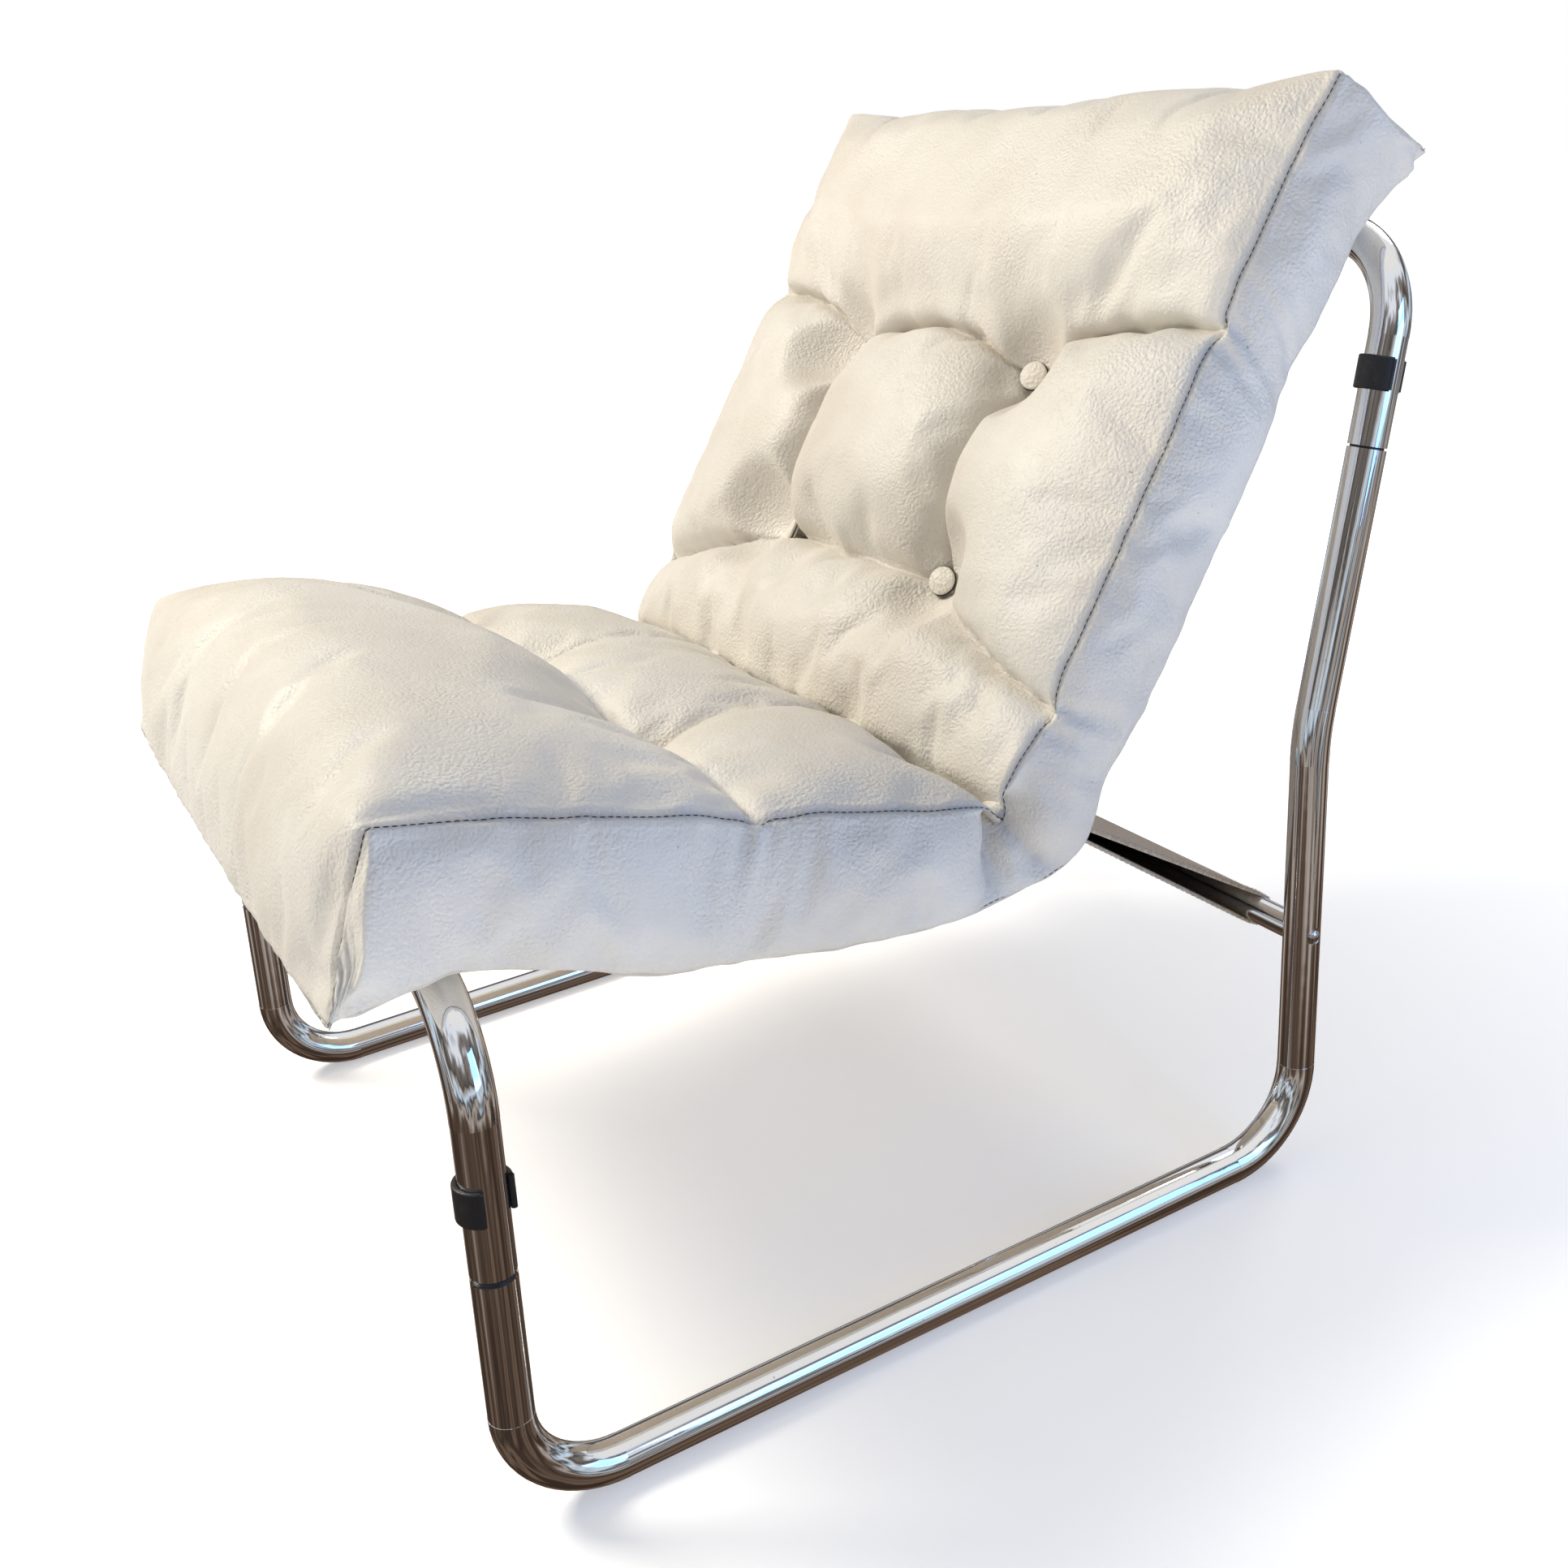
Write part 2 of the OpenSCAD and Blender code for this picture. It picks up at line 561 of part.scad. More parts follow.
side_frame();  // side_frame_right
mirrored(-1) side_frame();  // side_frame_left
front_crosspiece();
top_crosspiece();
at_front_joint() spigot();  // front_spigot_right
mirrored(-1) at_front_joint() spigot();  // front_spigot_left
at_top_joint() spigot();  // top_spigot_right
mirrored(-1) at_top_joint() spigot();  // top_spigot_left
at_front_joint() spring_clip();  // front_clip_right
mirrored(-1) at_front_joint() spring_clip();  // front_clip_left
at_top_joint() spring_clip();  // top_clip_right
mirrored(-1) at_top_joint() spring_clip();  // top_clip_left
lower_bar();
lower_bar_plug();  // lower_bar_plug_right
mirrored(-1) lower_bar_plug();  // lower_bar_plug_left
lower_bar_bolt();  // lower_bar_bolt_right
mirrored(-1) lower_bar_bolt();  // lower_bar_bolt_left
sling_seat();
sling_back();
sling_tie();
cushion_seat_foam();
cushion_back_foam();
cushion_face_panel();
cushion_under_panel();
cushion_gusset();  // cushion_gusset_right
mirrored(-1) cushion_gusset();  // cushion_gusset_left
tuft_buttons();
tuft_backers();
tuft_ties();
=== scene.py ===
# %% [markdown]
# A low lounge chair. Two side frames of bent chrome tube stand on the floor, two bent crosspieces
# plug into them, a canvas sling hangs between the crosspieces and is tied down to a lower bar, and
# one long tufted cushion of cream leatherette lies in the sling. The metal and the plastic come from
# the frame as they are. The cloth, the cushion, its buttons and its stitching are made here.

# %% Load the frame
import json
import math

import bmesh
import bpy
import numpy as np
from mathutils import Matrix, Vector


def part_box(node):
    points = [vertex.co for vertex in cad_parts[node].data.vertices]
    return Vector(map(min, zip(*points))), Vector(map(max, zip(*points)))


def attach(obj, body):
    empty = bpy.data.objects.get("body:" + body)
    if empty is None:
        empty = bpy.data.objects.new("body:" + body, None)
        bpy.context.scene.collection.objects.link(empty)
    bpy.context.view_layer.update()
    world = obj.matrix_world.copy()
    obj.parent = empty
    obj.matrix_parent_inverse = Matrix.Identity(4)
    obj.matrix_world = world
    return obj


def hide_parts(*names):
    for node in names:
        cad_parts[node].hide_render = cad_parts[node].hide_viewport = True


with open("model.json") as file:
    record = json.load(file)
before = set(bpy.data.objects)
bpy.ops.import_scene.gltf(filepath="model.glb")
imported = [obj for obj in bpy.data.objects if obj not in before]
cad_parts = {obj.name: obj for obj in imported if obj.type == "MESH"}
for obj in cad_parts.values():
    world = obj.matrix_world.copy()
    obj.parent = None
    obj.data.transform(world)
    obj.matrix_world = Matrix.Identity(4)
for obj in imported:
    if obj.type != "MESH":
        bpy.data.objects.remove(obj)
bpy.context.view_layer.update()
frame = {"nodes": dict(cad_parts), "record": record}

nodes = frame["nodes"]

# %% [markdown]
# The camera stands in front of the chair's near side, a little above the top bar, and looks down at
# it. A camera in Blender looks along its own -Z with +Y up, so its turn is a matrix whose columns are
# the view's right, up and backward directions. A small roll tips the view,
# and the shift slides the frame without turning the camera.

# %% Camera
CAMERA_AT = (1.0539, -0.4347, 0.7024)
CAMERA_AZIMUTH, CAMERA_ELEVATION, CAMERA_ROLL = (math.radians(a) for a in (59.73, 19.63, 4.8))


def camera_turn(azimuth, elevation, roll):
    """Columns are right, up and back. Forward is the view line, right is level, and both right and
    down then turn about forward by the roll."""
    forward = -Vector((math.sin(azimuth) * math.cos(elevation),
                       -math.cos(azimuth) * math.cos(elevation), math.sin(elevation)))
    level = Vector((math.cos(azimuth), math.sin(azimuth), 0))
    down = forward.cross(level)
    right = math.cos(roll) * level + math.sin(roll) * down
    down = forward.cross(right)
    return Matrix((right, -down, -forward)).transposed().to_4x4()


camera_data = bpy.data.cameras.new("camera")
camera_data.sensor_width = 36
camera_data.lens = 39.11
camera_data.shift_x, camera_data.shift_y = -0.0887, -0.0365
camera = bpy.data.objects.new("camera", camera_data)
bpy.context.scene.collection.objects.link(camera)
camera.matrix_world = (Matrix.Translation(CAMERA_AT)
                       @ camera_turn(CAMERA_AZIMUTH, CAMERA_ELEVATION, CAMERA_ROLL))
bpy.context.scene.camera = camera
print("camera", round(camera_data.lens, 2), "mm lens at", CAMERA_AT)

# %% [markdown]
# The studio is a pale floor, two big soft lamps and a weak one behind. Chrome shows only what stands
# round it, so the room that it reflects is darker and warmer low down than overhead, while the ground
# behind the chair stays plain and pale.

# %% Studio
def area_lamp(name, at, towards, size, power, colour):
    """A square lamp of that size that looks from at to towards."""
    data = bpy.data.lights.new(name, "AREA")
    data.shape, data.size, data.energy, data.color = "SQUARE", size, power, colour
    lamp = bpy.data.objects.new(name, data)
    lamp.location = at
    lamp.rotation_mode = "QUATERNION"
    lamp.rotation_quaternion = (Vector(towards) - Vector(at)).to_track_quat("-Z", "Y")
    bpy.context.scene.collection.objects.link(lamp)
    return lamp


CHAIR_MIDDLE = (0, 0.05, 0.4)
area_lamp("key_lamp", (-1.1, -1.3, 2.2), CHAIR_MIDDLE, 0.9, 64, (1.0, 0.93, 0.81))
area_lamp("side_lamp", (2.2, 0.9, 0.9), CHAIR_MIDDLE, 1.2, 15, (0.20, 0.44, 1.0))
area_lamp("back_lamp", (-0.3, 2.0, 2.2), CHAIR_MIDDLE, 0.9, 14, (1.0, 0.97, 0.93))


def node_maker(tree):
    """Returns add(type, **sockets and settings) for a node tree: a value that is a socket is linked,
    any other is set on the input of that name, or on the node itself if it has no such input."""
    def add(kind, **given):
        node = tree.nodes.new(kind)
        for key, value in given.items():
            name = key.replace("_", " ")
            slots = [s for s in node.inputs if s.name.lower() == name.lower() and s.enabled]
            if key.startswith("in") and key[2:].isdigit():
                slots = [node.inputs[int(key[2:])]]
            if not slots:
                setattr(node, key, value)
            elif isinstance(value, bpy.types.NodeSocket):
                tree.links.new(value, slots[0])
            else:
                slots[0].default_value = value
        return node
    add.tree = tree
    return add


world = bpy.data.worlds.new("studio")
bpy.context.scene.world = world
world.use_nodes = True
world.node_tree.nodes.clear()
add = node_maker(world.node_tree)
ways = add("ShaderNodeTexCoord")
height = add("ShaderNodeSeparateXYZ", Vector=ways.outputs["Generated"])
wavy = add("ShaderNodeTexNoise", Vector=ways.outputs["Generated"], Scale=2.2, Detail=2.0)
level = add("ShaderNodeMath", operation="MULTIPLY_ADD", in0=height.outputs["Z"], in1=0.5, in2=0.2)
mixed = add("ShaderNodeMath", operation="MULTIPLY_ADD", in0=wavy.outputs["Fac"], in1=0.7,
            in2=level.outputs[0])
room = add("ShaderNodeValToRGB", Fac=mixed.outputs[0])
ramp = room.color_ramp
ramp.elements[0].position, ramp.elements[0].color = 0.06, (0.05, 0.03, 0.02, 1)
ramp.elements[1].position, ramp.elements[1].color = 1.0, (1.0, 0.97, 0.92, 1)
ROOM_BANDS = ((0.15, (0.18, 0.12, 0.085)), (0.22, (0.045, 0.03, 0.022)), (0.33, (0.13, 0.085, 0.06)),
              (0.42, (0.50, 0.44, 0.39)), (0.47, (0.06, 0.045, 0.038)), (0.55, (0.75, 0.88, 1.0)),
              (0.60, (0.50, 0.48, 0.46)), (0.66, (0.08, 0.07, 0.06)),
              (0.78, (0.25, 0.22, 0.20)), (0.86, (0.90, 0.94, 1.0)))
for place, colour in ROOM_BANDS:
    ramp.elements.new(place).color = (*colour, 1)
path = add("ShaderNodeLightPath")
mirrored = add("ShaderNodeMapRange", Value=path.outputs["Is Glossy Ray"], To_Min=0.28, To_Max=1.0)
lit = add("ShaderNodeBackground", Color=room.outputs["Color"], Strength=mirrored.outputs["Result"])
seen = add("ShaderNodeBackground", Color=(1, 1, 1, 1), Strength=1.0)
both = add("ShaderNodeMixShader", in0=path.outputs["Is Camera Ray"], in1=lit.outputs[0], in2=seen.outputs[0])
add("ShaderNodeOutputWorld", Surface=both.outputs[0])
bpy.context.scene.view_settings.view_transform = "Standard"


# %% [markdown]
# Every mesh here is a grid of points worked out as whole arrays. These helpers turn a grid into a
# mesh, read points back, and make a material from a short list of nodes.

# %% Mesh helpers
def grid_faces(rows, columns, closed=False):
    """Quads between neighbouring points of a rows x columns grid; closed joins the last column to
    the first. A point's number is row * columns + column."""
    i, j = np.meshgrid(np.arange(rows - 1), np.arange(columns if closed else columns - 1), indexing="ij")
    k = (j + 1) % columns
    corner_numbers = [i * columns + j, i * columns + k, (i + 1) * columns + k, (i + 1) * columns + j]
    return np.stack(corner_numbers, -1).reshape(-1, 4)


def make_piece(name, points, faces, material):
    """A smooth-shaded mesh object at the origin."""
    mesh = bpy.data.meshes.new(name)
    faces = faces if isinstance(faces, list) else faces.tolist()
    mesh.from_pydata(np.asarray(points, float).reshape(-1, 3).tolist(), [], faces)
    mesh.materials.append(material)
    mesh.polygons.foreach_set("use_smooth", np.ones(len(mesh.polygons), bool))
    piece = bpy.data.objects.new(name, mesh)
    bpy.context.scene.collection.objects.link(piece)
    return piece


def points_of(piece):
    """All vertices of a piece as an N x 3 array."""
    points = np.zeros(len(piece.data.vertices) * 3, np.float32)
    piece.data.vertices.foreach_get("co", points)
    return points.reshape(-1, 3).astype(float)


def set_points(piece, points):
    piece.data.vertices.foreach_set("co", np.asarray(points, np.float32).ravel())
    piece.data.update()


def tidy(piece, merge=1e-5):
    """Merges doubled points and turns every face outwards."""
    work = bmesh.new()
    work.from_mesh(piece.data)
    bmesh.ops.remove_doubles(work, verts=work.verts, dist=merge)
    bmesh.ops.recalc_face_normals(work, faces=work.faces)
    work.to_mesh(piece.data)
    work.free()
    return piece


def unit(v):
    return v / np.maximum(np.linalg.norm(v, axis=-1, keepdims=True), 1e-12)


def along(line):
    """The distance of each point of a line from its start."""
    return np.concatenate([[0], np.cumsum(np.linalg.norm(np.diff(line, axis=0), axis=1))])


def resampled(line, distances):
    """The points of a line at those distances along it."""
    have = along(line)
    return np.stack([np.interp(distances, have, line[:, k]) for k in range(line.shape[1])], -1)


def smooth_step(x, low, high):
    t = np.clip((x - low) / (high - low), 0, 1)
    return t * t * (3 - 2 * t)

# %% [markdown]
# ## Finishes
# A finish is a Principled shader with its colour, roughness and bump worked out from noise on Object
# coordinates, so that it stays put when the piece is seen from another side. Sizes in the patterns are
# given as features per metre.

# %% Finish helper
def finish(name, metallic=0.0, sheen=0.0, coat=0.0, coat_roughness=0.1, specular=0.5):
    """A new material. Returns it, a node maker, the shader node and the Object coordinates."""
    material = bpy.data.materials.new(name)
    material.use_nodes = True
    material.node_tree.nodes.clear()
    make = node_maker(material.node_tree)
    shader = make("ShaderNodeBsdfPrincipled", Metallic=metallic, Specular_IOR_Level=specular)
    shader.inputs["Sheen Weight"].default_value = sheen
    shader.inputs["Coat Weight"].default_value = coat
    shader.inputs["Coat Roughness"].default_value = coat_roughness
    make("ShaderNodeOutputMaterial", Surface=shader.outputs[0])
    place = make("ShaderNodeTexCoord").outputs["Object"]
    return material, make, shader, place


def spread(make, value, low, high, to_low=0.0, to_high=1.0):
    """Maps a value from low..high to to_low..to_high."""
    return make("ShaderNodeMapRange", Value=value, From_Min=low, From_Max=high,
                To_Min=to_low, To_Max=to_high).outputs["Result"]


def blended(make, share, a, b):
    """Colour a towards colour b by share."""
    return make("ShaderNodeMix", data_type="RGBA", in0=share, in6=a, in7=b).outputs[2]


def noise(make, at, scale, detail, **more):
    """Noise at some coordinates, with so many features per metre."""
    return make("ShaderNodeTexNoise", Vector=at, Scale=scale, Detail=detail, **more).outputs["Fac"]


def stretched(make, at, scale, **more):
    """Coordinates scaled differently each way, for a streaky pattern."""
    return make("ShaderNodeMapping", Vector=at, Scale=scale, **more).outputs[0]


# %% Chrome, bolt steel and nylon
def chrome_finish(name, colour, rough, scuffs):
    """Bright plate: a mirror with a faint orange-peel swell, hairline scuffs and a few dull pits."""
    material, make, shader, place = finish(name, metallic=1.0)
    cloudy = noise(make, place, 9.0, 4.0)
    hair = noise(make, stretched(make, place, (900, 900, 40)), 1.0, 3.0)
    pits = noise(make, place, 420.0, 2.0)
    dull = spread(make, pits, 0.70, 0.78)
    shader_colour = blended(make, spread(make, cloudy, 0.35, 0.75, 0, 0.5), colour,
                            tuple(c * 0.86 for c in colour[:3]) + (1,))
    stained = spread(make, pits, 0.72, 0.80, 0, 0.7)
    shader_colour = blended(make, stained, shader_colour, (0.20, 0.15, 0.11, 1))
    make.tree.links.new(shader_colour, shader.inputs["Base Color"])
    roughness = make("ShaderNodeMath", operation="MULTIPLY_ADD", in0=dull, in1=0.25,
                     in2=spread(make, hair, 0.5, 0.8, rough, rough + scuffs)).outputs[0]
    make.tree.links.new(roughness, shader.inputs["Roughness"])
    swell = noise(make, place, 55.0, 1.0)
    bump = make("ShaderNodeBump", Height=swell, Strength=0.05, Distance=0.002)
    make.tree.links.new(bump.outputs[0], shader.inputs["Normal"])
    return material


chrome = chrome_finish("chrome", (0.78, 0.79, 0.81, 1), 0.045, 0.10)
bolt_steel = chrome_finish("bolt_steel", (0.62, 0.63, 0.65, 1), 0.16, 0.18)


def nylon_finish():
    """Satin black moulding: fine spark-eroded grain and a little dust in its hollows."""
    material, make, shader, place = finish("black_nylon")
    grain = noise(make, place, 1500.0, 2.0)
    dust = noise(make, place, 120.0, 5.0)
    dusty = spread(make, dust, 0.55, 0.8, 0, 0.6)
    colour = blended(make, dusty, (0.012, 0.012, 0.014, 1), (0.05, 0.045, 0.04, 1))
    make.tree.links.new(colour, shader.inputs["Base Color"])
    make.tree.links.new(spread(make, grain, 0.3, 0.7, 0.34, 0.5), shader.inputs["Roughness"])
    bump = make("ShaderNodeBump", Height=grain, Strength=0.25, Distance=0.0003)
    make.tree.links.new(bump.outputs[0], shader.inputs["Normal"])
    return material


black_nylon = nylon_finish()

# %% Leatherette
PEBBLES_PER_METRE = 430


def leatherette_finish(name, colour, worn, edge_attribute=None):
    """Cream leatherette: rounded pebbles about 2 mm across with valleys between them, broken up by
    finer creases, low soft cockles, yellowed and greyed clouds, and a few dark specks and scuffs. Given an
    edge attribute, the seams darken too, and painted shade darkens the folds by their depth."""
    material, make, shader, place = finish(name, coat=0.06, coat_roughness=0.35, specular=0.45)
    warped = make("ShaderNodeTexNoise", Vector=place, Scale=90.0, Detail=2.0).outputs["Color"]
    moved = make("ShaderNodeVectorMath", operation="MULTIPLY_ADD", in0=warped, in1=(0.006, 0.006, 0.006),
                 in2=place).outputs[0]
    pebble = make("ShaderNodeTexVoronoi", Vector=moved, Scale=PEBBLES_PER_METRE, feature="SMOOTH_F1",
                  Smoothness=0.45).outputs["Distance"]
    crease = noise(make, place, 700.0, 4.0, Roughness=0.6)
    cockle = noise(make, place, 38.0, 3.0)
    patches = noise(make, place, 16.0, 2.0)
    strong = spread(make, patches, 0.35, 0.65, 0.35, 1.0)
    grain = make("ShaderNodeMath", operation="MULTIPLY", in0=pebble, in1=strong).outputs[0]
    relief = make("ShaderNodeMath", operation="MULTIPLY_ADD", in0=crease, in1=0.45,
                  in2=make("ShaderNodeMath", operation="MULTIPLY", in0=grain, in1=-1.0).outputs[0]).outputs[0]
    clouds = noise(make, place, 7.0, 5.0, Roughness=0.6)
    tint = blended(make, spread(make, clouds, 0.38, 0.68), colour, worn)
    scuffs = noise(make, stretched(make, place, (60, 420, 160), Rotation=(0.5, 0.3, 0.9)), 1.0, 3.0)
    where = make("ShaderNodeMath", operation="MULTIPLY", in0=spread(make, scuffs, 0.72, 0.80),
                 in1=spread(make, patches, 0.55, 0.7, 0, 0.6)).outputs[0]
    tint = blended(make, where, tint, (0.42, 0.36, 0.30, 1))
    specks = noise(make, place, 190.0, 1.0)
    tint = blended(make, spread(make, specks, 0.815, 0.84, 0, 0.6), tint, (0.20, 0.17, 0.15, 1))
    if edge_attribute:
        edge = make("ShaderNodeAttribute", attribute_name=edge_attribute).outputs["Fac"]
        tint = blended(make, spread(make, edge, 0.0, 1.0, 0.0, 0.55), tint, (0.30, 0.28, 0.27, 1))
        # painted shade: the deeper a point lies in a fold, the more its colour darkens towards a warm brown,
        # standing in for the shade in the creases
        fold = make("ShaderNodeAttribute", attribute_name="fold_painted_shade").outputs["Fac"]
        tint = blended(make, spread(make, fold, 0.35, 1.0, 0.0, 0.45), tint, (0.34, 0.29, 0.24, 1))
    make.tree.links.new(tint, shader.inputs["Base Color"])
    make.tree.links.new(spread(make, relief, -0.5, 0.3, 0.52, 0.37), shader.inputs["Roughness"])
    low = make("ShaderNodeBump", Height=cockle, Strength=0.20, Distance=0.004)
    fine = make("ShaderNodeBump", Height=relief, Strength=0.85, Distance=0.0009, Normal=low.outputs[0])
    make.tree.links.new(fine.outputs[0], shader.inputs["Normal"])
    return material


leatherette = leatherette_finish("leatherette", (0.77, 0.745, 0.69, 1), (0.69, 0.645, 0.575, 1),
                                 "in_the_seam")
button_leather = leatherette_finish("button_leather", (0.76, 0.73, 0.66, 1), (0.69, 0.65, 0.58, 1))

# %% Canvas, thread, foam and twine
THREADS_PER_METRE = 1500


def woven_finish(name, colour, dark, threads, strength):
    """A plain weave read from the piece's own UV map, which is in metres: warp and weft are two sine
    waves, and each crossing shows the one on top. Slubs and specks break the colour up."""
    material, make, shader, place = finish(name, sheen=0.25)
    flat = make("ShaderNodeUVMap", uv_map="flat").outputs[0]
    parts = make("ShaderNodeSeparateXYZ", Vector=flat)

    def wave(value, shift):
        turned = make("ShaderNodeMath", operation="MULTIPLY_ADD", in0=value, in1=threads * math.pi, in2=shift)
        return make("ShaderNodeMath", operation="SINE", in0=turned.outputs[0]).outputs[0]

    checks = make("ShaderNodeMath", operation="MULTIPLY", in0=wave(parts.outputs["X"], 0.0),
                  in1=wave(parts.outputs["Y"], 0.0)).outputs[0]
    slub = noise(make, stretched(make, flat, (900, 60, 1)), 1.0, 3.0)
    weft = noise(make, stretched(make, flat, (60, 900, 1)), 1.0, 3.0)
    both_ways = make("ShaderNodeMath", operation="MULTIPLY", in0=slub, in1=weft).outputs[0]
    specks = noise(make, place, 650.0, 2.0)
    tint = blended(make, spread(make, both_ways, 0.16, 0.36), dark, colour)
    tint = blended(make, spread(make, checks, -1, 1, 0.0, 0.30), tint, dark)
    tint = blended(make, spread(make, specks, 0.62, 0.75, 0, 0.55), tint, (0.20, 0.15, 0.11, 1))
    make.tree.links.new(tint, shader.inputs["Base Color"])
    shader.inputs["Roughness"].default_value = 0.92
    height = make("ShaderNodeMath", operation="MULTIPLY_ADD", in0=both_ways, in1=2.2, in2=checks).outputs[0]
    bump = make("ShaderNodeBump", Height=height, Strength=strength, Distance=0.0004)
    make.tree.links.new(bump.outputs[0], shader.inputs["Normal"])
    return material


canvas = woven_finish("canvas", (0.66, 0.56, 0.44, 1), (0.44, 0.36, 0.27, 1), THREADS_PER_METRE, 0.55)


def thread_finish(name, colour, twist):
    """Twisted thread: a slanting noise for the plies."""
    material, make, shader, place = finish(name, sheen=0.2)
    ply = noise(make, place, twist, 3.0)
    tint = blended(make, spread(make, ply, 0.3, 0.7), colour, tuple(c * 0.55 for c in colour[:3]) + (1,))
    make.tree.links.new(tint, shader.inputs["Base Color"])
    shader.inputs["Roughness"].default_value = 0.7
    bump = make("ShaderNodeBump", Height=ply, Strength=0.6, Distance=0.0003)
    make.tree.links.new(bump.outputs[0], shader.inputs["Normal"])
    return material


navy_thread = thread_finish("navy_thread", (0.030, 0.036, 0.065, 1), 2600.0)
tan_thread = thread_finish("tan_thread", (0.52, 0.42, 0.30, 1), 2600.0)
twine = thread_finish("twine", (0.62, 0.55, 0.42, 1), 1800.0)
foam = thread_finish("foam", (0.85, 0.74, 0.46, 1), 700.0)

SLOT_FINISH = {"chrome": chrome, "bolt_steel": bolt_steel, "black_nylon": black_nylon, "canvas": canvas,
               "leatherette": leatherette, "button_cover": button_leather, "twine": twine, "foam": foam}
for part in frame["record"]["subparts"]:
    for place in nodes[part["node"]].material_slots:
        place.material = SLOT_FINISH[part["material_slot"]]
print("finishes:", sorted(SLOT_FINISH))

# %% [markdown]
# ## The cushion's plan
# The cushion is one long box: a wrap panel runs from the front underside over the seat and up the
# back to the head end, an under panel lies on the sling, and a side gusset closes each side. Four rows
# of two buttons pull the faces together, and folds run between them and out to the side seams.
# The frame holds a plain solid of it, so its side plate gives the outline, and the CAD buttons give the
# places and the slant of both faces.

# %% Outline from the side plate, rows from the buttons
def plate_outline(node):
    """The closed outline of a flat plate's outer face as [y, z]: the edges that only one triangle of
    that face uses, chained end to end."""
    co = points_of(nodes[node]).round(5)
    tris = np.array([p.vertices[:] for p in nodes[node].data.polygons])
    flat = tris[(np.abs(co[tris][:, :, 0] - co[:, 0].max()) < 1e-4).all(1)]
    spots, number = np.unique(co[:, 1:], axis=0, return_inverse=True)
    edges = np.sort(np.concatenate([number[flat][:, pair] for pair in ([0, 1], [1, 2], [2, 0])]), 1)
    single, count = np.unique(edges, axis=0, return_counts=True)
    next_to = {}
    for a, b in single[count == 1]:
        next_to.setdefault(a, []).append(b)
        next_to.setdefault(b, []).append(a)
    chain = [single[count == 1][0][0]]
    while len(chain) < len(next_to):
        ways_on = [n for n in next_to[chain[-1]] if n not in chain[-2:]]
        chain.append(ways_on[0])
    return spots[chain]


def disc_rows(node):
    """For each row of small discs in a node, from the top down: [y, z] of the lower face's middle and
    the direction that the disc is thinnest in, turned upwards."""
    co = points_of(nodes[node])
    co = co[co[:, 0] > 0][:, 1:]
    rows = []
    while len(co):
        near = np.linalg.norm(co - co[np.argmax(co[:, 1])], axis=1) < 0.05
        disc, co = co[near], co[~near]
        middle = (disc.max(0) + disc.min(0)) / 2
        turns = np.radians(np.arange(0, 180, 0.25))
        ways_out = np.stack([np.cos(turns), np.sin(turns)], -1)
        reach = (disc - middle) @ ways_out.T
        out = ways_out[np.argmin(np.ptp(reach, axis=0))]
        rows.append((middle + out * ((disc - middle) @ out).min(), out))
    return rows


outline = plate_outline("cushion_gusset_right")
rows = disc_rows("tuft_buttons")
(top_at, back_out), (low_at, _), seat_row, crook_row = rows
seat_out = seat_row[1]
BUTTON_X = float(np.abs(points_of(nodes["tuft_buttons"])[:, 0]).mean())
BACK_TUFT, SEAT_TUFT = 0.020, 0.010
back_up = unit(top_at - low_at)
seat_back = np.array([seat_out[1], -seat_out[0]])
front_low = outline[np.argmin(outline[:, 0])]
head_rear = outline[np.argmax(outline[:, 0])]
HALF_W = float(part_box("cushion_gusset_right")[1].x)


def crossing(p, along_p, q, along_q):
    """Where two lines cross."""
    gap = q - p
    turn = along_p[0] * along_q[1] - along_p[1] * along_q[0]
    return p + along_p * (gap[0] * along_q[1] - gap[1] * along_q[0]) / turn


seat_line_at, back_line_at = seat_row[0] + seat_out * SEAT_TUFT, top_at + back_out * BACK_TUFT
crook = crossing(seat_line_at, seat_back, back_line_at, back_up)
DEPTH = abs(float(np.dot(back_line_at - head_rear, back_out)))
SEAT_FRONT_SET = 0.036
seat_front = crossing(np.array([front_low[0] + SEAT_FRONT_SET, 0]), np.array([0.0, 1.0]),
                      seat_line_at, seat_back)
HEAD_PUFF = 0.003
head_front = crossing(head_rear + back_up * HEAD_PUFF, back_out, back_line_at, back_up)
print("crook", crook.round(4), "seat front", seat_front.round(4), "head front", head_front.round(4),
      "buttons at x", round(BUTTON_X, 4))

# %% [markdown]
# Two lines carry the shape. The seam line is where the wrap panel meets the gusset, with sharp
# corners. The crown line is the same path along the middle of the cushion, rounded at the front and
# head and puffed out between the folds. Across the cushion, the surface goes from one to the other.
# The under line follows the sling, and the gusset's lower seam hangs a little off it.

# %% Seam, crown and under lines
STATIONS = 169
FACE_CELLS, GUSSET_CELLS = 96, 14
corners = np.array([front_low, seat_front, crook, head_front, head_rear])
corner_at = along(corners)
SEAT_AT, CROOK_AT, HEAD_AT, END_AT = corner_at[1:]
row_at = {"seat": CROOK_AT - np.linalg.norm(seat_line_at - crook),
          "low": CROOK_AT + np.linalg.norm(low_at + back_out * BACK_TUFT - crook),
          "top": CROOK_AT + np.linalg.norm(back_line_at - crook)}


def bump_at(s, middle, width):
    """A bell curve over the distance s."""
    return np.exp(-((s - middle) / width) ** 2)


def left_of_line(line):
    """The unit normal on the left of each point of a line, which is outwards for the face."""
    way = unit(np.gradient(line, axis=0))
    return np.stack([-way[:, 1], way[:, 0]], -1)


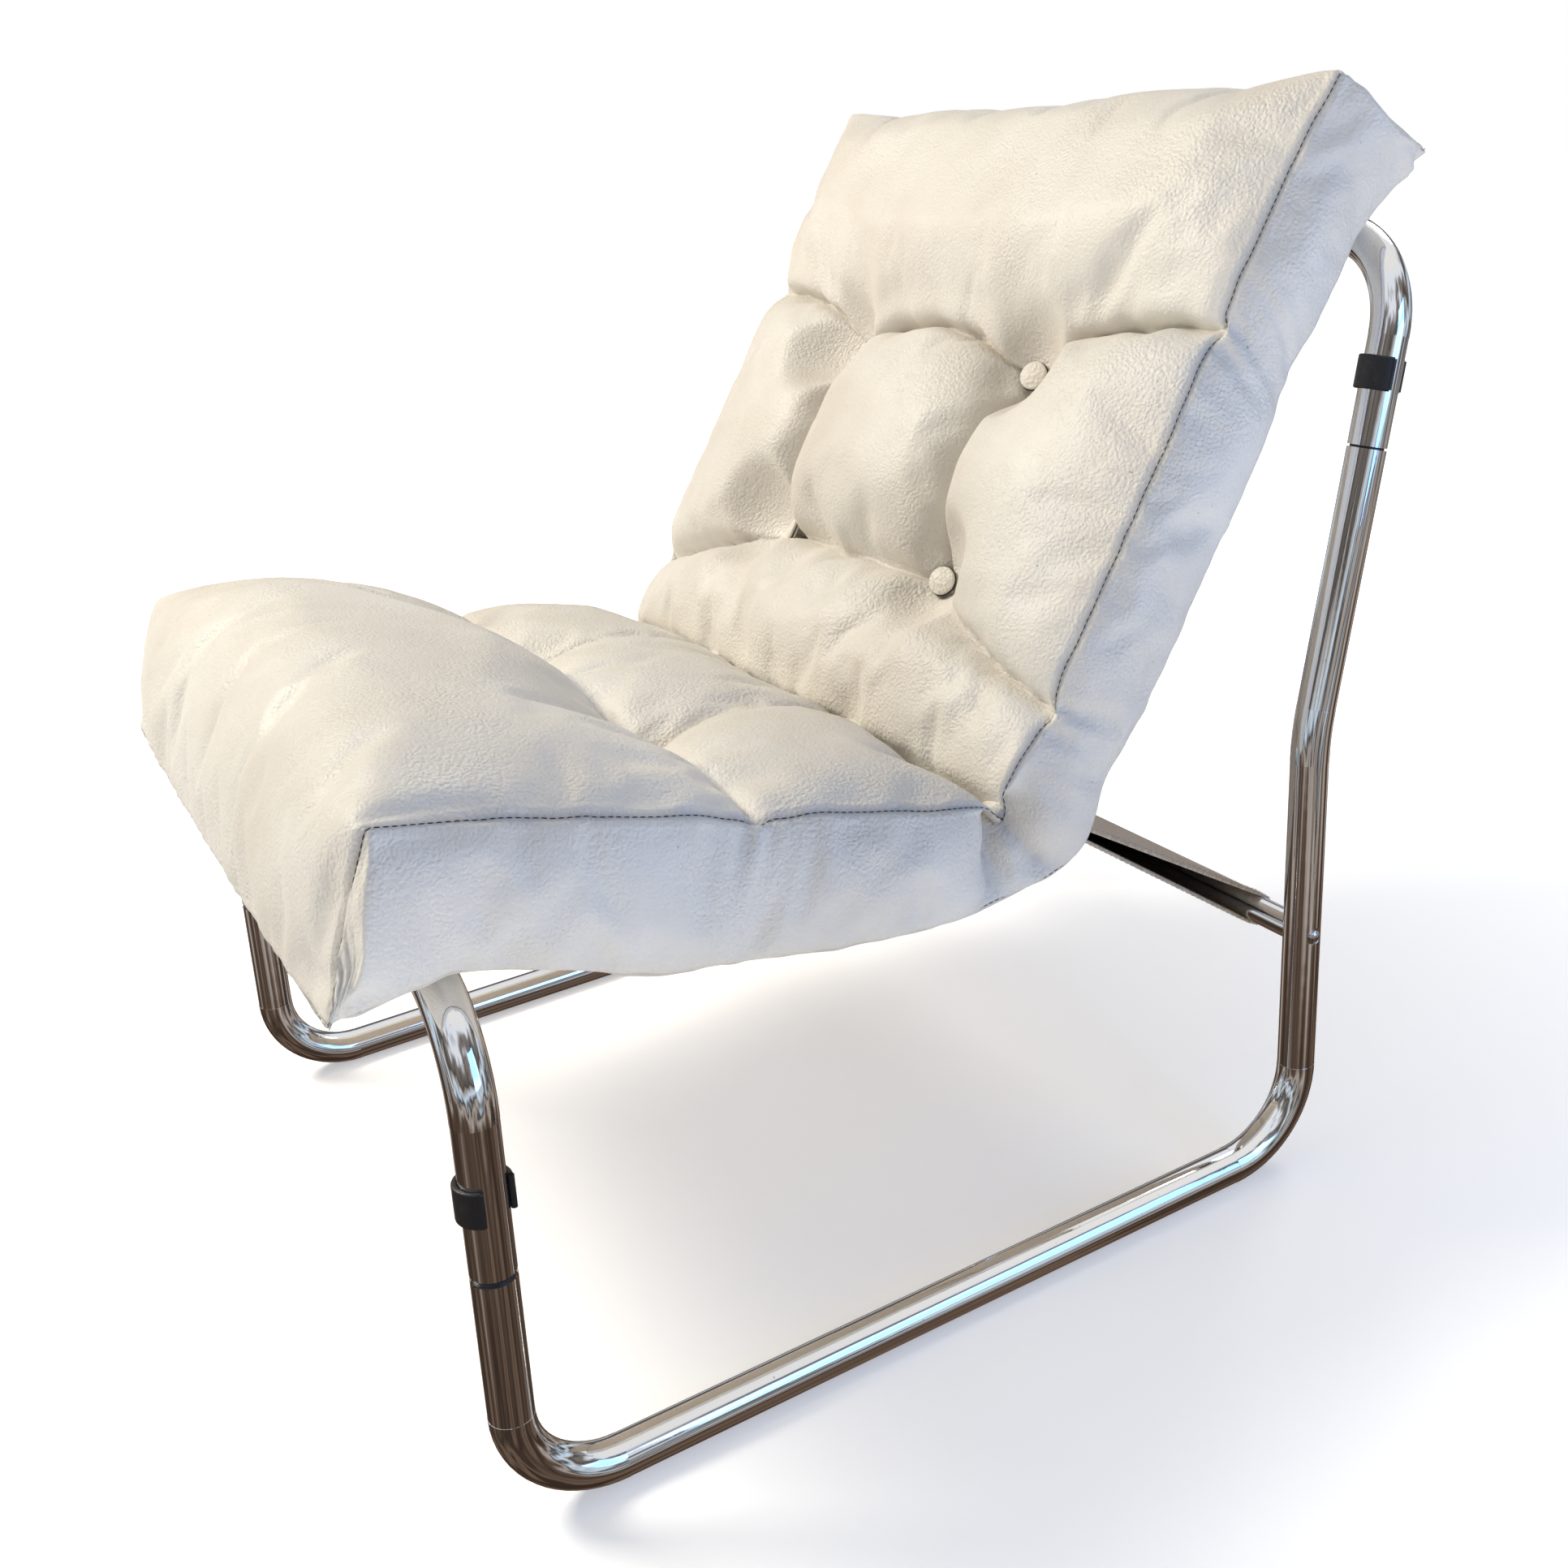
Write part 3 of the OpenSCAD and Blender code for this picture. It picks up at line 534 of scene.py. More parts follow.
def blurred(line, step, width):
    """A line smoothed with a bell curve of that width, by distance along it; its ends stay."""
    reach = int(3 * width / step)
    bell = bump_at(np.arange(-reach, reach + 1) * step, 0, width)
    ends = np.concatenate([2 * line[:1] - line[reach:0:-1], line, 2 * line[-1:] - line[-2:-reach - 2:-1]])
    return np.stack([np.convolve(ends[:, k], bell / bell.sum(), "valid") for k in range(line.shape[1])], -1)


FINE = 0.001
fine_s = np.arange(0, END_AT, FINE)
fine_seam = resampled(corners, fine_s)
fine_round = blurred(fine_seam, FINE, 0.017)
fine_out = blurred(left_of_line(fine_round), FINE, 0.01)
lobe_marks = [(0.0, 0.004), (0.05, 0.013), (SEAT_AT, 0.020), (SEAT_AT + 0.07, 0.027),
              (row_at["seat"] - 0.05, 0.024), (row_at["seat"], 0.017),
              (row_at["seat"] + 0.07, 0.019), (CROOK_AT - 0.02, 0.016),
              (CROOK_AT + 0.02, 0.022), (CROOK_AT + 0.07, 0.031), (row_at["low"], 0.026),
              (row_at["low"] + 0.075, 0.029), (row_at["top"], 0.026), (row_at["top"] + 0.08, 0.028),
              (HEAD_AT - 0.05, 0.020), (HEAD_AT, 0.010), (END_AT - 0.03, 0.010), (END_AT, 0.004)]
fine_crown = np.interp(fine_s, *zip(*lobe_marks))
fine_crown = blurred(fine_crown[:, None], FINE, 0.018)[:, 0]

face_s = np.linspace(0, END_AT, STATIONS)


def at_stations(values):
    """Values that are known at every fine step, at the stations."""
    return np.stack([np.interp(face_s, fine_s, values[:, k]) for k in range(values.shape[1])], -1)


seam_line = at_stations(fine_seam)
seam_out = unit(at_stations(blurred(left_of_line(fine_seam), FINE, 0.006)))
SIDE_TOP, SIDE_LOW = CROOK_AT + 0.308, CROOK_AT + 0.059
seam_dip = (0.006 * bump_at(face_s, SIDE_TOP, 0.020) + 0.007 * bump_at(face_s, SIDE_LOW, 0.022)
            + 0.006 * bump_at(face_s, row_at["seat"], 0.028))
seam_line = seam_line - seam_out * seam_dip[:, None]
crown_line = at_stations(fine_round + fine_out * fine_crown[:, None])
crown_out = unit(at_stations(fine_out))

turn_at = [int(np.argmin(np.linalg.norm(outline - p, axis=1))) for p in (front_low, head_rear)]
one_way = np.roll(outline, -turn_at[0], axis=0)
split = (turn_at[1] - turn_at[0]) % len(outline)
halves = [one_way[:split + 1], np.concatenate([one_way[split:], one_way[:1]])[::-1]]
under_path = min(halves, key=lambda h: resampled(h, [along(h)[-1] * 0.4])[0, 1])


def nearest_along(line, point):
    """How far along a line lies the point of it that is nearest to a given point."""
    at = np.arange(0, along(line)[-1], FINE)
    return at[np.argmin(np.linalg.norm(resampled(line, at) - point, axis=1))]


pairs = [(0.0, 0.0), (SEAT_AT, nearest_along(under_path, seat_front - seat_out * 0.1)),
         (row_at["seat"], nearest_along(under_path, seat_line_at - seat_out * DEPTH)),
         (CROOK_AT, nearest_along(under_path, crook_row[0] - crook_row[1] * DEPTH)),
         (row_at["low"], nearest_along(under_path, low_at - back_out * DEPTH)),
         (row_at["top"], nearest_along(under_path, top_at - back_out * DEPTH)),
         (HEAD_AT - 0.02, along(under_path)[-1] - 0.020), (END_AT, along(under_path)[-1])]
fine_under = np.interp(fine_s, *zip(*pairs))
fine_under = np.concatenate([[0], blurred(fine_under[:, None], FINE, 0.02)[1:-1, 0], [along(under_path)[-1]]])
under_s = np.interp(face_s, fine_s, fine_under)
under_line = resampled(under_path, under_s)
under_out = -unit(at_stations(blurred(left_of_line(resampled(under_path, fine_under)), FINE, 0.012)))
UNDER_END = along(under_path)[-1]
head_end = 1 - smooth_step(under_s, UNDER_END - 0.07, UNDER_END - 0.005)
hang = (0.009 * smooth_step(under_s, 0.09, 0.2) * (1 - smooth_step(under_s, 0.36, 0.45))
        - 0.015 * smooth_step(under_s, 0.42, 0.52) * head_end)
low_seam = under_line + under_out * hang[:, None]
print("face", round(END_AT, 3), "m long, underside", round(UNDER_END, 3), "m, rows at",
      {k: round(v, 3) for k, v in row_at.items()})

# %% [markdown]
# Each fold is a line on the wrap panel with a level at each point: how deep its bottom lies below the
# seam line. Beside a fold the surface climbs as a quarter circle, steep at the bottom and level at the
# top, which is how a stuffed cover rolls into a fold. Where folds meet, the deeper one counts.

# %% Folds and the wrap panel
LEVEL_BUTTON, LEVEL_SEAT_BUTTON = -BACK_TUFT, -SEAT_TUFT
B = BUTTON_X
top, low, seat = row_at["top"], row_at["low"], row_at["seat"]


def both_sides(points):
    """The same fold on both sides of the middle."""
    return [points, [(-x, *others) for x, *others in points]]


# each point is x, distance along the panel, level, reach of the roll beside it
BUTTON_SEAT = 0.0105
BUTTON_SPOTS = [(side * B, s, level, reach) for side in (-1, 1)
                for s, level, reach in ((top, LEVEL_BUTTON, 0.068), (low, LEVEL_BUTTON, 0.068),
                                        (CROOK_AT, 0.004, 0.045), (seat, LEVEL_SEAT_BUTTON, 0.085))]
ABOVE_SIDE = [(B, top, LEVEL_BUTTON, 0.060), (0.150, top + 0.024, -0.008, 0.055),
              (0.200, top + 0.037, -0.006, 0.050), (0.245, top + 0.043, -0.004, 0.045),
              (HALF_W, SIDE_TOP, -0.002, 0.035)]
ABOVE_MIDDLE = [(-B, top, LEVEL_BUTTON, 0.060), (-0.055, top + 0.018, -0.006, 0.055),
                (0.0, top + 0.024, -0.005, 0.055), (0.055, top + 0.018, -0.006, 0.055),
                (B, top, LEVEL_BUTTON, 0.060)]
BELOW_SIDE = [(B, low, LEVEL_BUTTON, 0.060), (0.160, low - 0.022, -0.006, 0.045),
              (0.215, low - 0.040, -0.004, 0.040), (HALF_W, SIDE_LOW, -0.003, 0.030)]
BELOW_MIDDLE = [(-B, low, LEVEL_BUTTON, 0.060), (0.0, low - 0.004, -0.008, 0.050),
                (B, low, LEVEL_BUTTON, 0.060)]
COLUMN = [(B, low, LEVEL_BUTTON, 0.060), (B - 0.006, (low + top) / 2, -0.006, 0.055),
          (B, top, LEVEL_BUTTON, 0.060)]
BELOW_BUTTON = [(B, low, LEVEL_BUTTON, 0.040), (B + 0.005, low - 0.024, 0.006, 0.024),
                (B + 0.010, low - 0.050, 0.026, 0.016)]
CROOK_FOLD = [(-HALF_W, CROOK_AT, -0.004, 0.030), (-0.2, CROOK_AT, -0.014, 0.045),
              (-B, CROOK_AT, 0.003, 0.050), (0.0, CROOK_AT, -0.014, 0.050), (B, CROOK_AT, 0.003, 0.050),
              (0.2, CROOK_AT, -0.014, 0.045), (HALF_W, CROOK_AT, -0.004, 0.030)]
SEAT_FOLD = [(-HALF_W, seat, -0.002, 0.050), (-0.2, seat - 0.004, 0.010, 0.070),
             (-B, seat, LEVEL_SEAT_BUTTON, 0.075), (0.0, seat - 0.006, 0.015, 0.080),
             (B, seat, LEVEL_SEAT_BUTTON, 0.075), (0.2, seat - 0.004, 0.010, 0.070),
             (HALF_W, seat, -0.002, 0.050)]
SEAT_COLUMN = [(B, seat, LEVEL_SEAT_BUTTON, 0.070), (B, (seat + CROOK_AT) / 2, 0.019, 0.055),
               (B, CROOK_AT, 0.004, 0.050)]
ROLLED = [*both_sides(ABOVE_SIDE), ABOVE_MIDDLE, CROOK_FOLD]
FOLDS = [*ROLLED[:3], *both_sides(BELOW_SIDE), BELOW_MIDDLE, *both_sides(COLUMN), *both_sides(BELOW_BUTTON),
         CROOK_FOLD, SEAT_FOLD, *both_sides(SEAT_COLUMN)]


def fold_pull(x, s):
    """For every point of the panel: the level of each fold at its nearest place, how far out of its
    roll it is, from 0 at the bottom to 1, and its gathering move towards the fold. Distances are taken
    to every short straight piece of the fold at once. A button has a flat seat and a softer roll."""
    found = []
    for at_x, at_s, level, reach in BUTTON_SPOTS:
        way_back = np.stack([at_x - x, at_s - s], -1)
        far = np.linalg.norm(way_back, axis=-1)
        share = np.clip((far - BUTTON_SEAT) / reach, 0, 1)
        found.append((level, (2 * share - share ** 2) ** 0.95, 0 * way_back))
    for fold in FOLDS:
        line = np.array(fold, float)
        fine = resampled(line, np.linspace(0, along(line)[-1], 40))
        a, b = fine[:-1, :2], fine[1:, :2]
        p = np.stack([x, s], -1)[..., None, :]
        t = np.clip(((p - a) * (b - a)).sum(-1) / np.maximum(((b - a) ** 2).sum(-1), 1e-12), 0, 1)
        gap = p - (a + t[..., None] * (b - a))
        far = np.linalg.norm(gap, axis=-1)
        k = far.argmin(-1)[..., None]
        t_k = np.take_along_axis(t, k, -1)[..., 0]
        level = fine[:-1, 2][k[..., 0]] * (1 - t_k) + fine[1:, 2][k[..., 0]] * t_k
        reach = fine[:-1, 3][k[..., 0]] * (1 - t_k) + fine[1:, 3][k[..., 0]] * t_k
        share = np.clip(np.take_along_axis(far, k, -1)[..., 0] / reach, 0, 1)
        to_fold = -np.take_along_axis(gap, k[..., None], -2)[..., 0, :]
        way_back = to_fold * (share * (1 - share) ** 2)[..., None]
        found.append((level, (2 * share - share ** 2) ** 0.6, way_back))
    return found


half_width = HALF_W - 0.008 - (
    0.006 * bump_at(face_s, SIDE_TOP, 0.03) + 0.007 * bump_at(face_s, SIDE_LOW, 0.03)
    + 0.007 * bump_at(face_s, seat, 0.035) + 0.006 * bump_at(face_s, CROOK_AT, 0.03)) + (
    0.006 * bump_at(face_s, SEAT_AT, 0.03) + 0.006 * bump_at(face_s, HEAD_AT, 0.03)
    + 0.007 * bump_at(face_s, 0, 0.03) + 0.007 * bump_at(face_s, END_AT, 0.03))


def wrap_panel(s_index, across):
    """The wrap panel. across runs -1..1 between the side seams. The surface is the seam line plus a
    share of the way to the crown line, a flat-topped dome across the cushion, less the pull of the
    folds; and near a fold, points gather towards it."""
    x = across * half_width[s_index]
    s = face_s[s_index]
    dome = (1 - np.abs(across) ** 2.6) ** 0.72
    base = seam_line[s_index] + dome[..., None] * (crown_line - seam_line)[s_index]
    out = crown_out[s_index]
    lift = (dome[..., None] * (crown_line - seam_line)[s_index] * out).sum(-1)
    drops, shift = [], np.zeros(x.shape + (2,))
    for level, climb, gather in fold_pull(x, s):
        drops.append(np.clip(lift - level, 0, 1) * (1 - climb))
        shift = shift + gather
    drop = (np.stack(drops) ** 5).sum(0) ** 0.2
    base = base - out * drop[..., None]
    way = unit(np.gradient(crown_line, axis=0))[s_index]
    x = x + shift[..., 0] * (1 - np.abs(across) ** 8)
    base = base + way * (shift[..., 1] * (1 - np.abs(across) ** 8))[..., None]
    return np.concatenate([x[..., None], base], -1)


# %% Gusset and under panel
def gusset_panel(side, s_index, down):
    """A side gusset. down runs from 0 at the wrap panel's seam to 1 at the lower seam. It goes straight
    from one seam to the other and bulges sideways as a parabola; at the crook it is drawn in along a
    sharp valley, and beside the folds of the back it has short pleats."""
    line = seam_line[s_index] + down[..., None] * (low_seam - seam_line)[s_index]
    s = face_s[s_index]
    ends = smooth_step(s, 0, 0.06) * (1 - smooth_step(s, END_AT - 0.05, END_AT))
    bulge = 0.011 * ends * 4 * down * (1 - down)
    slack = np.abs(s - CROOK_AT - 0.004 * np.sin(9 * down))
    valley = 0.026 * np.exp(-slack / 0.016) * (1 - down ** 2.5) * np.clip(6 * down, 0, 1)
    pleats = sum(0.0035 * np.exp(-((s - at) / 0.030) ** 2) * np.cos((s - at + lean * down) * 300)
                 * np.exp(-3.0 * down) * np.clip(8 * down, 0, 1)
                 for at, lean in ((SIDE_TOP, 0.03), (SIDE_LOW, -0.02), (row_at["seat"], 0.01)))
    x = half_width[s_index] + bulge - valley + pleats
    return np.concatenate([side * x[..., None], line], -1)


REST_HALF_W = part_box("sling_seat")[1].x + 0.002
tie_rows = [middle for middle, _ in disc_rows("tuft_backers")]


def under_panel(s_index, across):
    """The under panel. It lies along the under line over the canvas, and beyond the canvas it eases
    to the lower seam; the tie buttons pull small dimples into it."""
    x = across * half_width[s_index]
    out = smooth_step(np.abs(x), REST_HALF_W, HALF_W - 0.015)[..., None]
    line = under_line[s_index] + out * (low_seam - under_line)[s_index]
    dimples = sum(0.0046 * np.exp(-((np.abs(x) - BUTTON_X) ** 2 + ((line - at) ** 2).sum(-1)) / 0.018 ** 2)
                  for at in tie_rows)
    line = line - under_out[s_index] * dimples[..., None]
    return np.concatenate([x[..., None], line], -1)


# %% Join the panels into one closed cover
every = np.arange(STATIONS)
across = np.linspace(-1, 1, FACE_CELLS + 1)
down = np.linspace(0, 1, GUSSET_CELLS + 1)[1:-1]
face_grid = wrap_panel(*np.meshgrid(every, across, indexing="ij"))
under_grid = under_panel(*np.meshgrid(every, across[::-1], indexing="ij"))
near_grid = gusset_panel(1, *np.meshgrid(every, down, indexing="ij"))
far_grid = gusset_panel(-1, *np.meshgrid(every, down[::-1], indexing="ij"))
whole = np.concatenate([face_grid, near_grid, under_grid, far_grid], axis=1)
LOOP = whole.shape[1]
FACE, NEAR, UNDER, FAR = (slice(0, FACE_CELLS + 1), slice(FACE_CELLS + 1, FACE_CELLS + GUSSET_CELLS),
                          slice(FACE_CELLS + GUSSET_CELLS, 2 * FACE_CELLS + GUSSET_CELLS + 1),
                          slice(2 * FACE_CELLS + GUSSET_CELLS + 1, LOOP))
whole[0, UNDER] = whole[0, FACE][::-1]
whole[-1, UNDER] = whole[-1, FACE][::-1]

columns = np.arange(LOOP)[None, :] + 0 * every[:, None]
station = np.repeat(every[:, None], LOOP, 1).astype(float)
seam_column = {"near": FACE_CELLS, "far": 0, "near_low": UNDER.start, "far_low": UNDER.stop - 1}
seam = np.isin(columns, list(seam_column.values())) | (station == 0) | (station == STATIONS - 1)
drops = np.zeros((STATIONS, LOOP))
i, j = np.meshgrid(every, across, indexing="ij")
in_fold = np.max([1 - climb for _, climb, _ in fold_pull(j * half_width[i], face_s[i])], axis=0)
drops[:, FACE] = in_fold
hold = np.clip(np.where(seam, 0.75, 0), 0, 1)
hold = np.maximum(hold, smooth_step(drops, 0.55, 0.95) * 0.9)
for at_x, at_s, _, _ in BUTTON_SPOTS:
    spot = np.hypot(j * half_width[i] - at_x, face_s[i] - at_s) < BUTTON_SEAT + 0.004
    hold[:, FACE] = np.where(spot, 1, hold[:, FACE])
resting = np.abs(whole[:, UNDER, 0]) < REST_HALF_W + 0.015
hold[:, UNDER] = np.where(resting, 1, hold[:, UNDER])
for panel in (NEAR, FAR):
    hold[:, panel] = np.maximum(hold[:, panel], 0.85 * np.exp(-((face_s - CROOK_AT) / 0.009) ** 2)[:, None])
hold[[0, -1]] = 1

cover = make_piece("cushion_cover", whole, grid_faces(STATIONS, LOOP, closed=True), leatherette)
for name, values in (("seam", seam), ("hold", hold), ("station", station), ("column", columns)):
    layer = cover.data.attributes.new(name, "FLOAT", "POINT")
    layer.data.foreach_set("value", values.astype(np.float32).ravel())
tidy(cover, 5e-5)
print("cover:", len(cover.data.vertices), "points,", LOOP, "round,", STATIONS, "along")

# %% [markdown]
# The cover is then blown up as cloth. The buttons, the part that lies on the canvas and the two end
# seams are held, the folds and side seams are held by springs, and the panels are let out a little, so
# that the pressure rounds the lobes and the spare leatherette cockles beside the folds. No point may
# move further than a cap, because the frame gives the size.

# %% Blow the cover up as cloth
def values_of(piece, name):
    out = np.zeros(len(piece.data.vertices), np.float32)
    piece.data.attributes[name].data.foreach_get("value", out)
    return out


def blown_up(piece, pressure, let_out, cap, frames):
    """Runs Cloth on the piece with its hold attribute as the pin weights, then keeps the result."""
    scene = bpy.context.scene
    group = piece.vertex_groups.new(name="hold")
    weights = (values_of(piece, "hold") * 10).round().astype(int)
    for weight in range(1, 11):
        group.add(np.flatnonzero(weights == weight).tolist(), weight / 10, "REPLACE")
    before = points_of(piece)
    cloth = piece.modifiers.new("cloth", "CLOTH")
    settings = cloth.settings
    settings.quality = 6
    settings.mass = 0.35
    settings.tension_stiffness = settings.compression_stiffness = 22
    settings.shear_stiffness = 8
    settings.bending_stiffness = 0.9
    settings.tension_damping = settings.compression_damping = settings.shear_damping = 12
    settings.air_damping = 3
    settings.use_pressure = True
    settings.uniform_pressure_force = pressure
    settings.shrink_min = -let_out
    settings.vertex_group_mass = group.name
    settings.pin_stiffness = 1.0
    settings.effector_weights.gravity = 0
    cloth.collision_settings.use_collision = False
    cloth.point_cache.frame_start, cloth.point_cache.frame_end = 1, frames
    for frame_number in range(1, frames + 1):
        scene.frame_set(frame_number)
    found = piece.evaluated_get(bpy.context.evaluated_depsgraph_get())
    after = np.zeros(len(before) * 3, np.float32)
    found.data.vertices.foreach_get("co", after)
    move = after.reshape(-1, 3) - before
    size = np.linalg.norm(move, axis=1, keepdims=True)
    move = move * np.minimum(1, cap / np.maximum(size, 1e-9))
    piece.modifiers.remove(cloth)
    scene.frame_set(1)
    set_points(piece, before + move)
    piece.vertex_groups.clear()
    print("blown up: would move", round(float(size.mean()) * 1000, 1), "mm on average and",
          round(float(size.max()) * 1000, 1), "at most; the cap is", round(cap * 1000, 1))


blown_up(cover, pressure=3.2, let_out=0.025, cap=0.015, frames=20)

# %% Smooth it once and draw the seams in
def subdivided(piece, levels=1):
    """The piece with one Subdivision Surface step applied."""
    step = piece.modifiers.new("smooth", "SUBSURF")
    step.levels = step.render_levels = levels
    graph = bpy.context.evaluated_depsgraph_get()
    mesh = bpy.data.meshes.new_from_object(piece.evaluated_get(graph), preserve_all_data_layers=True,
                                           depsgraph=graph)
    piece.modifiers.clear()
    old, piece.data = piece.data, mesh
    bpy.data.meshes.remove(old)
    mesh.name = piece.name
    return piece


def normals_of(piece):
    out = np.zeros(len(piece.data.vertices) * 3, np.float32)
    piece.data.vertex_normals.foreach_get("vector", out)
    return out.reshape(-1, 3).astype(float)


CREASE_DEPTH, CREASE_W = 0.0080, 0.0048
ROLL, ROLL_AT, ROLL_W = 0.0055, 0.011, 0.008
crown_way = unit(np.gradient(crown_line, axis=0))


def sorted_fold(fold):
    """The x and the distance along the panel of a fold's points, in rising x."""
    line = np.array(fold, float)
    line = line[np.argsort(line[:, 0])]
    return line[:, 0], line[:, 1]


def creased(points, x, s, share):
    """Points of the wrap panel drawn in along the folds: a groove of CREASE_DEPTH that fades as an
    exponential of the distance from the fold's line, less where the fold is shallow and twice as deep
    at the crook. Above the long folds the lobe rolls down over the groove. Returns the points with how
    deep each lies, 0 to 1."""
    out = np.stack([0 * s, *[np.interp(s, face_s, crown_out[:, k]) for k in range(2)]], -1)
    deep, roll = np.zeros(len(s)), np.zeros(len(s))
    for fold in FOLDS:
        line = np.array(fold, float)[:, :3]
        line = resampled(line, np.linspace(0, along(line)[-1], 60))
        a, b = line[:-1, :2], line[1:, :2]
        p = np.stack([x, s], -1)[:, None, :]
        t = np.clip(((p - a) * (b - a)).sum(-1) / np.maximum(((b - a) ** 2).sum(-1), 1e-12), 0, 1)
        far = np.linalg.norm(p - (a + t[..., None] * (b - a)), axis=-1)
        nearest = far.argmin(-1)
        strength = smooth_step(-line[nearest, 2], -0.016, 0.004)
        deep = np.maximum(deep, strength * np.exp(-(far.min(-1) / CREASE_W) ** 1.3))
        if fold in ROLLED:
            above = s - np.interp(x, *sorted_fold(fold))
            inside = (x > line[:, 0].min()) & (x < line[:, 0].max())
            roll += ROLL * inside * bump_at(above, ROLL_AT, ROLL_W)
    deep = deep * share
    way = np.stack([0 * s, *[np.interp(s, face_s, crown_way[:, k]) for k in range(2)]], -1)
    points = points + ((0.35 * out - way) * (roll * share)[:, None])
    depth = CREASE_DEPTH * (1 + 1.2 * bump_at(s, CROOK_AT, 0.015))
    return points - out * (depth * deep)[:, None], deep


VALLEY_DEPTH, RIDGE, PLEAT, PLEATS_PER_METRE = 0.010, 0.006, 0.0026, 420
VALLEY_LEANS = (-0.012, 0.022)
PLEATED = ((SIDE_TOP, 0.035), (SIDE_LOW, -0.030), (row_at["seat"], 0.020), (0.030, 0.010))


def gusset_folds(points, s, column):
    """Both gussets drawn in: at the crook two valleys fan out from the upper seam to the lower one with
    a ridge between them, and beside the folds' ends short pleats fan out. Returns how deep each point lies in
    the valleys too, which is used as painted shade."""
    near_down = (column - FACE_CELLS) / GUSSET_CELLS
    far_down = (LOOP - column) / GUSSET_CELLS
    down = np.where(column > UNDER.stop - 1, far_down, near_down)
    on_it = ((down > 0.01) & (down < 0.99)).astype(float)
    fade = on_it * np.clip(down * 7, 0, 1) * np.clip((1 - down) * 5, 0, 1)
    valleys = sum(np.exp(-(np.abs(s - CROOK_AT - lean * down) / 0.0065) ** 1.2) for lean in VALLEY_LEANS)
    ridge = bump_at(s, CROOK_AT + 0.005 * down, 0.005)
    pleats = sum(bump_at(s, at + 0.012 * down, 0.024) * np.cos((s - at + lean * down) * PLEATS_PER_METRE)
                 for at, lean in PLEATED)
    move = (VALLEY_DEPTH * valleys - RIDGE * ridge - PLEAT * pleats * np.exp(-2.2 * down)) * fade
    moved = points.copy()
    moved[:, 0] -= np.sign(points[:, 0]) * move
    return moved, fade * np.clip(valleys, 0, 1) * 0.8


BOWL_SEAT, BOWL_SLOPE, BOWL_RISE, BOWL_BLEND, BOWL_TILT = 0.0118, 0.58, 22.0, 0.006, 0.85


def pressed(points, at, out):
    """Points kept under a bowl round a button: out to BOWL_SEAT nothing stands higher than just under
    the button's back, and beyond it the limit climbs by BOWL_SLOPE and BOWL_RISE times the distance and
    its square. The meeting with the bowl is rounded over BOWL_BLEND."""
    away = points - at
    height = away @ out
    far = np.linalg.norm(away - height[:, None] * out, axis=1)
    over = np.clip(far - BOWL_SEAT, 0, 1)
    above = height - (BOWL_SLOPE * over + BOWL_RISE * over ** 2 - 0.0012)
    excess = 0.5 * (above + np.sqrt(above ** 2 + (BOWL_BLEND * np.clip(over / 0.01, 0.05, 1)) ** 2))
    excess = excess * (1 - smooth_step(far, 0.035, 0.060)) * smooth_step(height, -0.035, -0.015)
    return points - excess[:, None] * out


BUTTON_R = 0.0098
BUTTON_RISE = {"top": 0.0055, "low": 0.0055, "seat": 0.0, "crook": 0.0}
TILT = {"top": 0.40, "low": 0.40, "seat": 0.0, "crook": 0.0}
button_spots = []
for (at, out), row_name in zip(rows, ("top", "low", "seat", "crook")):
    for side in (-1, 1):
        way = unit(np.array([side * TILT[row_name], *out]))
        spot = np.array([side * BUTTON_X, *at]) + np.array([0, *out]) * BUTTON_RISE[row_name]
        button_spots.append((spot, way))
SEAM_DEPTH, SEAM_LIP = 0.0016, 0.0005
subdivided(cover)
seam_share = values_of(cover, "seam")
cover_s = values_of(cover, "station") / (STATIONS - 1) * END_AT
on_face = (values_of(cover, "column") < FACE_CELLS + 0.01).astype(float)
co = points_of(cover)
edge_fade = smooth_step(HALF_W - 0.008 - np.abs(co[:, 0]), -0.004, 0.02)
co, deep = creased(co, co[:, 0], cover_s, on_face * edge_fade)
for at, out in button_spots[:4]:
    co = pressed(co, at, unit(out * (BOWL_TILT, 1, 1)))
co, gusset_fold_shade = gusset_folds(co, cover_s, values_of(cover, "column"))
deep = np.maximum(deep, gusset_fold_shade)
set_points(cover, co)
# painted shade: how deep each point lies in a fold, on the wrap panel and in the gusset valleys, is kept as
# an attribute that darkens the leatherette there
layer = cover.data.attributes.new("fold_painted_shade", "FLOAT", "POINT")
layer.data.foreach_set("value", deep.astype(np.float32))
drawn = np.where(seam_share > 0.99, -SEAM_DEPTH, np.where(seam_share > 0.3, SEAM_LIP, 0))
set_points(cover, points_of(cover) + normals_of(cover) * drawn[:, None])
layer = cover.data.attributes.new("in_the_seam", "FLOAT", "POINT")
layer.data.foreach_set("value", (seam_share > 0.99).astype(np.float32))
print("cover smoothed:", len(cover.data.polygons), "faces")

# %% [markdown]
# The seams are sewn with dark thread. Each stitch is a small spindle that lies along the seam, half
# sunk in it. All stitches of one seam are one mesh, made from one spindle by moving and turning copies
# of its points as whole arrays.

# %% Stitches along the seams
STITCH_PITCH, STITCH_LENGTH, STITCH_R = 0.0044, 0.0034, 0.00032


def end_discs(copies, count, sides):
    """The first and last ring of each copy of a turned shape, as two faces."""
    starts = np.arange(copies)[:, None] * count
    return (starts + np.arange(sides)[::-1]).tolist() + (starts + count - sides + np.arange(sides)).tolist()


